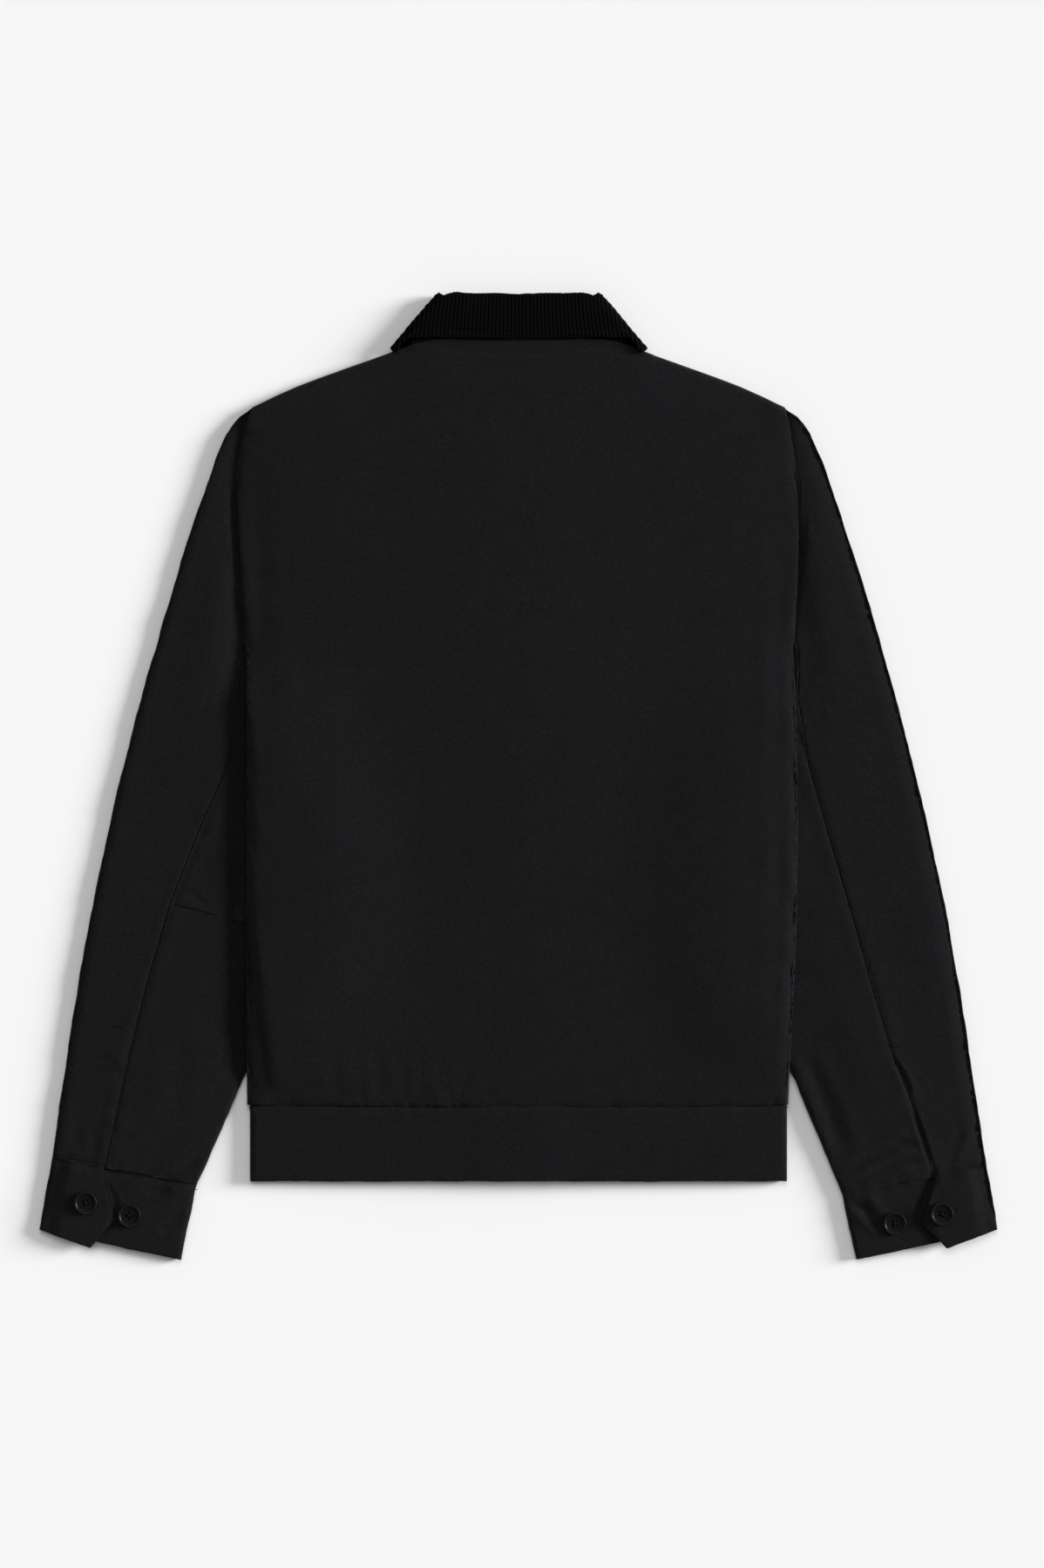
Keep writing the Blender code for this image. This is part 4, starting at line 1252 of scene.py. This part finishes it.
@dataclass(frozen=True)
class SewnButton:
    """A four-hole button with a raised rim, sewn on with crossed thread.

    Attributes:
        node: the solid that it stands for.
        turn: how far its holes are turned, in degrees.
        faces_up: whether its face looks up from the cloth, or down to the floor.
    """

    node: str
    turn: float
    faces_up: bool = True
    radius: ClassVar[float] = 0.009
    height: ClassVar[float] = 0.003
    steps: ClassVar[tuple[Place, ...]] = ((0.0014, 0.0), (0.0009, 0.0009), (0.0022, 0.0003))
    hole_radius: ClassVar[float] = 0.00095
    hole_out: ClassVar[float] = 0.0021
    rim: ClassVar[Place] = (0.0064, 0.0074)
    strand_radius: ClassVar[float] = 0.0003
    strand_apart: ClassVar[float] = 0.00022
    strand_depth: ClassVar[float] = 0.0011
    strand_dip: ClassVar[float] = 0.0012

    @staticmethod
    def select_faces(button: bpy.types.Object, way: int) -> None:
        """Select the faces that look up, for 1, or down, for -1."""
        work = bmesh.from_edit_mesh(button.data)
        for face in work.faces:
            face.select = face.normal.z * way > 0.9
        bmesh.update_edit_mesh(button.data)

    @classmethod
    def pattern(cls) -> bpy.types.Object:
        """Model one button, face up, its underside's middle at the origin.

        Returns:
            The button that every other one is copied from.
        """
        deselect_all()
        bpy.ops.mesh.primitive_cylinder_add(
            vertices=48, radius=cls.radius, depth=cls.height, location=(0, 0, cls.height / 2)
        )
        button = bpy.context.object
        bpy.ops.object.transform_apply(location=True)
        bpy.ops.object.mode_set(mode="EDIT")
        bpy.ops.mesh.select_all(action="DESELECT")
        cls.select_faces(button, 1)
        for inward, down in cls.steps:
            bpy.ops.mesh.inset(thickness=inward)
            bpy.ops.transform.translate(value=(0, 0, -down))
        cls.select_faces(button, -1)
        bpy.ops.mesh.inset(thickness=0.0013)
        bpy.ops.object.mode_set(mode="OBJECT")
        bevel = button.modifiers.new("soft edges", "BEVEL")
        bevel.width = 0.00045
        bevel.segments = 3
        bevel.limit_method = "ANGLE"
        bevel.angle_limit = math.radians(25)
        bpy.ops.object.modifier_apply(modifier=bevel.name)
        for angle in (math.radians(45 + 90 * number) for number in range(4)):
            cls.drill(button, cls.hole_out * math.cos(angle), cls.hole_out * math.sin(angle))
        bpy.ops.object.shade_smooth_by_angle(angle=math.radians(40))
        out = np.array([math.hypot(vertex.co.x, vertex.co.y) for vertex in button.data.vertices])
        mark_points(button.data, ButtonPlastic.rim, soft_step(*cls.rim, out))
        return button

    @classmethod
    def drill(cls, button: bpy.types.Object, x: float, y: float) -> None:
        """Cut one thread hole right through the button.

        Args:
            button: the button.
            x: the hole's middle, in metres.
            y: the same.
        """
        bpy.ops.mesh.primitive_cylinder_add(
            vertices=16, radius=cls.hole_radius, depth=0.01, location=(x, y, cls.height / 2)
        )
        drill = bpy.context.object
        cut = button.modifiers.new("hole", "BOOLEAN")
        cut.object = drill
        cut.operation = "DIFFERENCE"
        deselect_all()
        button.select_set(True)
        bpy.context.view_layer.objects.active = button
        bpy.ops.object.modifier_apply(modifier=cut.name)
        bpy.data.objects.remove(drill)

    def build(
        self, pattern: bpy.types.Object, plastic: bpy.types.Material, thread: bpy.types.Material
    ) -> None:
        """Copy the button to its solid's place and sew it on.

        Args:
            pattern: the button that it is copied from.
            plastic: the button's material.
            thread: the thread's material.
        """
        low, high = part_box(self.node)
        middle = (low + high) / 2
        flip = Matrix.Rotation(0.0 if self.faces_up else math.pi, 4, "X")
        turn = Matrix.Rotation(math.radians(self.turn), 4, "Z")
        base = low.z if self.faces_up else high.z
        spot = Matrix.Translation((middle.x, middle.y, base)) @ turn @ flip
        mesh = pattern.data.copy()
        mesh.transform(spot)
        mesh.materials.clear()
        mesh.materials.append(plastic)
        button = add_object(f"{self.node}_moulded", mesh)
        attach(button, BODY)
        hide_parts(self.node)
        self.crossed_thread(spot, thread)

    def strand(self, angle: int, side: int) -> bpy.types.Object:
        """One strand of thread between two holes, its ends pulled down into them.

        Args:
            angle: its direction, in degrees.
            side: -1 or 1, for the side of the middle that it lies on.

        Returns:
            The strand, on a button that stands at the origin.
        """
        deselect_all()
        bpy.ops.mesh.primitive_cylinder_add(
            vertices=8, radius=self.strand_radius, depth=2 * self.hole_out
        )
        strand = bpy.context.object
        bpy.ops.object.mode_set(mode="EDIT")
        bpy.ops.mesh.subdivide(number_cuts=3)
        bpy.ops.mesh.select_all(action="SELECT")
        bpy.ops.transform.rotate(value=math.pi / 2, orient_axis="Y", center_override=(0, 0, 0))
        bpy.ops.transform.translate(value=(0, side * self.strand_apart, 0))
        bpy.ops.transform.rotate(
            value=-math.radians(angle), orient_axis="Z", center_override=(0, 0, 0)
        )
        bpy.ops.object.mode_set(mode="OBJECT")
        lift = self.height - self.strand_depth + (0.00015 if angle > 90 else 0.0)
        for vertex in strand.data.vertices:
            out = math.hypot(vertex.co.x, vertex.co.y) / self.hole_out
            vertex.co.z += lift - self.strand_dip * soft_step(0.7, 1.05, out)
        return strand

    def crossed_thread(self, spot: Matrix, thread: bpy.types.Material) -> None:
        """Cross the thread between the holes, two strands each way.

        Args:
            spot: where the button is.
            thread: the thread's material.
        """
        strands = [self.strand(angle, side) for angle in (45, 135) for side in (-1, 1)]
        deselect_all()
        for strand in strands:
            strand.select_set(True)
        made = strands[0]
        bpy.context.view_layer.objects.active = made
        bpy.ops.object.join()
        made.name = f"{self.node}_thread"
        made.data.transform(spot)
        made.data.materials.append(thread)
        made.data.shade_smooth()
        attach(made, BODY)


class Side(Enum):
    """The garment's two sides, as the photograph shows them."""

    LEFT = "left"
    RIGHT = "right"


LEFT_BACK_SEAM = (
    (272, 845), (252, 898), (233, 951), (207, 1016), (194, 1051), (178, 1101), (154, 1183),
    (139, 1245), (128, 1309), (119, 1344),
)
RIGHT_BACK_SEAM = (
    (915, 836), (937, 907), (956, 975), (974, 1042), (991, 1096), (1006, 1145), (1021, 1205),
    (1038, 1246), (1052, 1285), (1064, 1322), (1074, 1350),
)
HEM_SEAM = (
    (286, 1267), (330, 1269), (420, 1270.5), (595, 1271), (770, 1270.5), (860, 1269), (904, 1267),
)
LEFT_ARMHOLE = (
    (300, 462), (288, 478), (277, 520), (272, 560), (272, 600), (275, 640), (279, 690), (282, 740),
)
RIGHT_ARMHOLE = (
    (890, 462), (903, 478), (909, 520), (915, 590), (918, 630), (918, 660), (914, 700), (910, 740),
)
LEFT_BODY_EDGE = ((282, 740), (279, 860), (277, 980), (279, 1080), (282, 1180), (286, 1262))
RIGHT_BODY_EDGE = ((910, 740), (914, 860), (915, 980), (914, 1060), (910, 1160), (904, 1262))
LEFT_ELBOW = ((196, 1042), (230, 1051), (276, 1061))
RIGHT_ELBOW = ((974, 1041), (945, 1049), (913, 1058))
RIGHT_OUTER_EDGE = (
    (920, 483), (938, 513), (967, 594), (1000, 699), (1034, 819), (1064, 939), (1089, 1059),
    (1109, 1179), (1121, 1258), (1131, 1329), (1143, 1405),
)
LEFT_FOLD = ((292, 1030), (300, 1090), (309, 1160), (316, 1215), (320, 1262))
NECK_FACING = ((475, 392), (520, 399), (598, 404), (676, 399), (720, 392))
LEFT_CUFF_SEAM = (
    (60, 1330), (90, 1334), (116, 1342), (146, 1351), (172, 1355), (215, 1360), (227, 1362),
)
RIGHT_CUFF_SEAM = (
    (966, 1372), (986, 1373), (1012, 1364), (1064, 1350), (1100, 1350), (1134, 1340),
)

# Each pucker's seam, depth, pitch, reach and dip.
PUCKERS = (
    (HEM_SEAM, 0.4, 8.0, 9.0, 0.8),
    (NECK_FACING, 0.15, 7.0, 4.0, 0.6),
    (LEFT_ARMHOLE, 0.6, 10.0, 9.0, 0.2),
    (RIGHT_ARMHOLE, 0.6, 10.0, 9.0, 0.4),
    (LEFT_BODY_EDGE, 1.1, 15.0, 10.0, 0.0),
    (RIGHT_BODY_EDGE, 1.1, 15.0, 10.0, 0.0),
    (LEFT_BACK_SEAM, 0.5, 9.0, 8.0, 0.6),
    (RIGHT_BACK_SEAM, 0.5, 9.0, 8.0, 0.6),
    (LEFT_ELBOW, 0.45, 8.0, 8.0, 0.5),
    (RIGHT_ELBOW, 0.45, 8.0, 8.0, 0.5),
    (LEFT_CUFF_SEAM, 1.0, 8.0, 13.0, 0.5),
    (RIGHT_CUFF_SEAM, 1.1, 8.0, 14.0, 0.5),
)

# Each crease's line, depth, half width, lean and swell.
CREASES = (
    (NECK_FACING, 0.45, 2.2, 1.0, 0.6),
    (((211, 1019), (226, 1032), (241, 1043)), 0.5, 2.6),
    (((234, 1330), (205, 1345), (176, 1356)), 2.4, 3.2, 1.6, 0.8),
    (((126, 1313), (138, 1308), (154, 1302)), 0.9, 3.0),
    (((84, 1294), (90, 1310), (93, 1328)), 0.4, 3.4),
    (((104, 1290), (107, 1310), (106, 1334)), 0.4, 3.6),
    (((208, 1180), (206, 1230), (196, 1290)), 0.7, 9.0),
    (((300, 520), (296, 600), (298, 700), (302, 820), (300, 930)), 0.6, 6.0, 1.5),
    (((893, 560), (896, 680), (893, 820), (894, 960), (890, 1100), (886, 1240)), 0.6, 6.0),
    (((919, 1200), (936, 1240), (954, 1285), (972, 1335)), 1.3, 4.6, 1.3, 0.7),
    (((973, 1344), (996, 1330), (1024, 1318), (1050, 1311)), 1.2, 3.4, 1.2, 0.7),
    (((980, 1356), (1012, 1342), (1040, 1334), (1064, 1334)), 1.2, 3.2, 1.0, 0.7),
    (((1018, 1308), (1036, 1312), (1060, 1320)), 0.8, 3.0),
    (((1098, 1338), (1106, 1318), (1118, 1294)), -0.9, 4.0),
    (((970, 1384), (990, 1388), (1001, 1401), (1020, 1409)), 1.5, 2.8, 1.4, 0.7),
    (
        (
            (1070, 1330), (1071, 1350), (1064, 1370), (1053, 1388), (1053, 1400), (1062, 1414),
            (1072, 1430),
        ),
        1.9, 2.6, 1.3, 0.0,
    ),
    (((1076, 1346), (1069, 1368), (1066, 1392), (1076, 1414), (1088, 1430)), -0.6, 3.0),
    (((1100, 1362), (1118, 1358), (1134, 1356)), 0.6, 3.0),
    (((117, 1348), (128, 1372), (132, 1394), (122, 1412), (110, 1426)), 0.9, 2.2, 1.0, 0.2),
    (((48, 1329), (66, 1333), (90, 1338), (124, 1347)), 0.7, 2.4, 1.0, 0.0),
    (((180, 1420), (198, 1404), (212, 1392)), 0.7, 3.4),
    (((160, 1362), (180, 1368), (206, 1370)), 0.6, 3.0),
    (((1022, 1210), (1034, 1230), (1042, 1249), (1045, 1266)), 1.3, 1.9, 1.0, 0.4),
    (((1044, 1262), (1054, 1292), (1064, 1322), (1070, 1348)), 1.1, 1.9, 1.0, 0.4),
)
UNDER_CREASES = (
    (((400, 500), (396, 700), (404, 900), (398, 1150)), 0.6, 8.0),
    (((790, 520), (796, 720), (788, 930), (796, 1160)), 0.6, 8.0),
)

# Where the body is gathered into the hem band: each crease's foot and top, depth
# and half width.
HEM_GATHERS = (
    ((352, 1268), (358, 1236), 0.16, 4.0),
    ((388, 1268), (383, 1210), 0.28, 4.5),
    ((412, 1268), (420, 1228), 0.23, 3.6),
    ((436, 1268), (432, 1196), 0.32, 4.8),
    ((462, 1268), (468, 1222), 0.23, 3.5),
    ((484, 1268), (480, 1204), 0.30, 4.2),
    ((511, 1268), (518, 1226), 0.21, 3.8),
    ((534, 1268), (530, 1212), 0.26, 4.2),
    ((560, 1268), (566, 1232), 0.18, 3.6),
    ((598, 1268), (594, 1236), 0.14, 4.0),
    ((640, 1268), (645, 1240), 0.12, 3.8),
    ((684, 1268), (680, 1232), 0.14, 4.4),
    ((722, 1268), (728, 1240), 0.12, 4.0),
    ((790, 1268), (786, 1244), 0.10, 4.4),
)

# The rows of stitches in each piece: where they run, and how far to the left.
ROWS = {
    "hem_stitching": (
        (tuple((px, py + 5) for px, py in HEM_SEAM),),
        (((292, 1349), (440, 1350.5), (595, 1351), (750, 1350.5), (899, 1349)),),
    ),
    "neck_facing_stitching": ((NECK_FACING,),),
    "collar_stitching": (
        (((476, 379), (530, 382), (598, 383), (664, 382), (716, 379)),),
    ),
    "left_sleeve_stitching": (
        (LEFT_BACK_SEAM, -0.0018),
        (LEFT_BACK_SEAM, -0.0075),
        (LEFT_ELBOW, 0.0018),
        (LEFT_ELBOW, 0.0062),
    ),
    "right_sleeve_stitching": (
        (RIGHT_BACK_SEAM, 0.0018),
        (RIGHT_BACK_SEAM, 0.0085),
        (RIGHT_ELBOW, -0.0018),
        (RIGHT_ELBOW, 0.0062),
    ),
    "cuff_stitching": (
        (((111, 1350), (126, 1393), (100, 1427)),),
        (((49, 1409), (74, 1420), (100, 1428)),),
        (((118, 1424), (160, 1435), (203, 1442)),),
        (((122, 1346), (146, 1355), (172, 1360), (215, 1365), (225, 1366)),),
        (((64, 1335), (90, 1339), (113, 1345)),),
        (((1078, 1354), (1062, 1394), (1087, 1428)),),
        (((1090, 1429), (1116, 1420), (1142, 1409)),),
        (((990, 1443), (1030, 1435), (1068, 1427)),),
        (((970, 1377), (988, 1377), (1012, 1369), (1052, 1356)),),
        (((1080, 1353), (1104, 1352), (1132, 1345)),),
    ),
}
SHALLOW = {"collar_stitching": Stitch(sunk=0.05)}


@dataclass
class Garment:
    """The whole jacket: its panels, its creases, its sewing and its buttons.

    Attributes:
        turns: how far the holes of each cuff button are turned, in degrees.
        cloth: the finished panels.
    """

    turns: tuple[tuple[str, float], ...] = (
        ("left_tab_button", 12),
        ("left_spare_button", 40),
        ("right_tab_button", -20),
        ("right_spare_button", 5),
    )
    cloth: list[bpy.types.Object] = field(default_factory=list)

    def falls(self) -> tuple[Fall, ...]:
        """The slopes along the body's sides, the armholes and the sleeves' outer edges."""
        body = ("back", "front_left", "front_right")
        arms = {side: (f"{side.value}_top_sleeve", f"{side.value}_cuff") for side in Side}
        parts = ("top_sleeve", "under_sleeve_upper", "under_sleeve_lower")
        sleeves = {side: tuple(f"{side.value}_{part}" for part in parts) for side in Side}
        left_inside = LEFT_ARMHOLE + LEFT_BODY_EDGE[1:]
        left_outside = Line(RIGHT_OUTER_EDGE).mirrored(0.009)
        return (
            Fall(Line(left_inside, -0.026), 5.8, 30.0, 1, sleeves[Side.LEFT]),
            Fall(Line(RIGHT_ARMHOLE, 0.022), 2.6, 22.0, -1, sleeves[Side.RIGHT]),
            Fall(Line(LEFT_BODY_EDGE, 0.014), 1.8, 13.0, -1, body),
            Fall(Line(RIGHT_BODY_EDGE, -0.011), 1.8, 10.0, 1, body),
            Fall(Line(LEFT_FOLD), 1.8, 8.0, -1, body),
            Fall(Line(RIGHT_OUTER_EDGE, -0.014), 2.6, 12.0, 1, arms[Side.RIGHT]),
            Fall(left_outside, 1.2, 8.0, -1, arms[Side.LEFT]),
        )

    def lie(self) -> Lie:
        """The creases, puckers and swells of the whole garment."""
        swells = (
            Swell((610, 900), (112, 300), 5.4),
            Swell((140, 1130), (22, 60), 1.0, -15),
            Swell((1060, 1080), (20, 70), 1.0, 14),
            Swell((230, 1180), (24, 60), 0.8, -15),
            Swell((985, 1200), (22, 60), 0.8, 20),
        )
        puckers = (Pucker(Line(seam), *sizes) for seam, *sizes in PUCKERS)
        creases = (Crease(Line(pixels), *sizes) for pixels, *sizes in CREASES)
        gathers = (
            Crease(Line((foot, head)), *sizes, 1.0, 0.7) for foot, head, *sizes in HEM_GATHERS
        )
        under = (Crease(Line(pixels), *sizes) for pixels, *sizes in UNDER_CREASES)
        return Lie((*swells, *puckers, *self.falls(), *creases, *gathers), tuple(under))

    def panels(self) -> tuple[Panel, ...]:
        """Every cut piece, with the rectangle that it was cut from."""
        floor, fronts = ("pale_floor",), ("front_left_cloth", "front_right_cloth")
        hem = Closing(Line(HEM_SEAM), (0.0, 1.0), 0.001)
        front, band = (0.24, 0.61), (0.23, 0.061)
        found = [
            Panel("back", (0.45, 0.62), 0.254, fronts, 0.005, 90),
            Panel("front_left", front, 0.130, floor, 0.005),
            Panel("front_right", front, 0.131, floor, 0.005),
            Panel("band_back", (0.43, 0.061), 0.0258, fronts, 0.003, 6, closings=(hem,)),
            Panel("band_front_left", band, 0.0138, floor, 0.004, 6),
            Panel("band_front_right", band, 0.0138, floor, 0.004, 6),
        ]
        seams = {Side.LEFT: (LEFT_CUFF_SEAM, 0.19), Side.RIGHT: (RIGHT_CUFF_SEAM, -0.19)}
        for side, (seam, inward) in seams.items():
            top, upper, lower, cuff = (
                f"{side.value}_{part}"
                for part in ("top_sleeve", "under_sleeve_upper", "under_sleeve_lower", "cuff")
            )
            hole, closing = Armhole(), Closing(Line(seam), (inward, 0.98))
            found += [
                Panel(top, (0.20, 0.63), 0.083, floor, 0.0029, 12, armhole=hole),
                Panel(upper, (0.11, 0.30), 0.0185, floor, 0.0029, 8, armhole=hole),
                Panel(lower, (0.16, 0.235), 0.029, floor, 0.0029, 8),
                Panel(cuff, (0.27, 0.06), 0.0150, floor, 0.0016, 6, closings=(closing,)),
            ]
        return tuple(found)

    def collar(self) -> RibbedCollar:
        """The corduroy collar."""
        size, area = (0.44, 0.085), 0.0323
        return RibbedCollar("collar", size, area, ("back_cloth",), 0.0013, 6, "corduroy")

    def sew(self, sewing: Sewing) -> None:
        """Sew every row, tack and buttonhole that shows."""
        for name, rows in ROWS.items():
            sewing.rows(name, [Line(*row) for row in rows], SHALLOW.get(name, Stitch()))
        tacks = (((129, 1178), (142, 1180)), ((1021, 1201), (1034, 1202)))
        sewing.tacks("sleeve_tacks", tacks)
        sewing.buttonhole("left_buttonhole", (84, 1379), (109, 1383))
        sewing.buttonhole("right_buttonhole", (1072, 1396), (1099, 1388))

    def buttons(self, plastic: bpy.types.Material, thread: bpy.types.Material) -> None:
        """Model a button once, and copy it to every place.

        Args:
            plastic: the buttons' material.
            thread: their thread's material.
        """
        pattern = SewnButton.pattern()
        made = [SewnButton(node, turn) for node, turn in self.turns]
        made += [SewnButton(f"front_button_{n}", 25.0 * n, False) for n in range(1, 7)]
        for button in made:
            button.build(pattern, plastic, thread)
        bpy.data.objects.remove(pattern)
        log.info("%d buttons", len(made))


@dataclass(frozen=True)
class Studio:
    """The pale floor, the soft light and the camera straight above.

    Attributes:
        distance: how far the camera is from the cloth, in metres.
        sensor: the camera's sensor along its long side, in millimetres.
        cloth_height: how high the cloth lies over the floor, in metres.
        room: the strength of the room's even light.
        suns: each soft light's name, azimuth from +X towards +Y, elevation,
            strength and width, the angles in degrees.
    """

    distance: float = 5.0
    sensor: float = 36.0
    cloth_height: float = 0.012
    room: float = 0.26
    suns: tuple[tuple[str, float, float, float, float], ...] = (
        ("key light", 12.0, 18.0, 5.1, 20.0),
        ("top light", 90.0, 62.0, 0.97, 40.0),
    )

    def floor(self) -> None:
        """Lay the floor."""
        deselect_all()
        bpy.ops.mesh.primitive_plane_add(size=24.0, location=(0, 0, -0.0002))
        floor = bpy.context.object
        bpy.ops.object.transform_apply(location=True)
        floor.name = "pale_floor"
        floor.data.materials.append(PaleFloor().material())

    def light(self) -> None:
        """Set the room's even light and the soft lights, which stand far away."""
        world = bpy.data.worlds.new("studio")
        world.use_nodes = True
        background = world.node_tree.nodes["Background"]
        background.inputs["Color"].default_value = (1.0, 1.0, 1.0, 1.0)
        background.inputs["Strength"].default_value = self.room
        bpy.context.scene.world = world
        for name, azimuth, elevation, strength, width in self.suns:
            light = bpy.data.lights.new(name, "SUN")
            light.energy = strength
            light.angle = math.radians(width)
            a, e = math.radians(azimuth), math.radians(elevation)
            way = Vector((math.cos(a) * math.cos(e), math.sin(a) * math.cos(e), math.sin(e)))
            made = add_object(name, light)
            made.rotation_euler = way.to_track_quat("Z", "Y").to_euler()
            made.location = way * 6
        bpy.context.scene.view_settings.view_transform = "Standard"

    def camera(self) -> None:
        """Set the camera so that the photograph's frame is its view."""
        data = bpy.data.cameras.new("camera")
        data.sensor_width = self.sensor
        data.sensor_fit = "AUTO"
        data.lens = self.sensor * self.distance / (PHOTO_HEIGHT / PIXELS_PER_METRE)
        made = add_object("camera", data)
        x, y = place(PHOTO_WIDTH / 2, PHOTO_HEIGHT / 2)
        made.location = (x, y, self.distance + self.cloth_height)
        bpy.context.scene.camera = made


def main() -> None:
    """Build the jacket, then the studio round it."""
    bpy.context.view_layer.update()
    cover = tree_of(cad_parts.values())
    garment = Garment()
    lie = garment.lie()
    cloth, corduroy = ShellCloth().material(), Corduroy().material()
    plastic, thread = ButtonPlastic().material(), Thread().material()
    for panel in garment.panels():
        garment.cloth.append(panel.build(cover, lie, cloth))
    garment.cloth.append(garment.collar().build(cover, lie, corduroy))
    garment.sew(Sewing(Ground(garment.cloth), thread))
    garment.buttons(plastic, thread)
    studio = Studio()
    studio.floor()
    studio.light()
    studio.camera()


logging.basicConfig(level=logging.INFO, format="%(name)s %(relativeCreated)d %(message)s")
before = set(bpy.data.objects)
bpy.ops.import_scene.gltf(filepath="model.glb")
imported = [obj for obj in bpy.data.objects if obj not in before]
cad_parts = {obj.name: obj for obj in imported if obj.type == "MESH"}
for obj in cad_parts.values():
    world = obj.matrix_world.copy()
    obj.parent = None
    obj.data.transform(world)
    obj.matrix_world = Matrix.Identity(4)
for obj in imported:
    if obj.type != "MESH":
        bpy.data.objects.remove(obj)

if __name__ == "__main__":
    main()
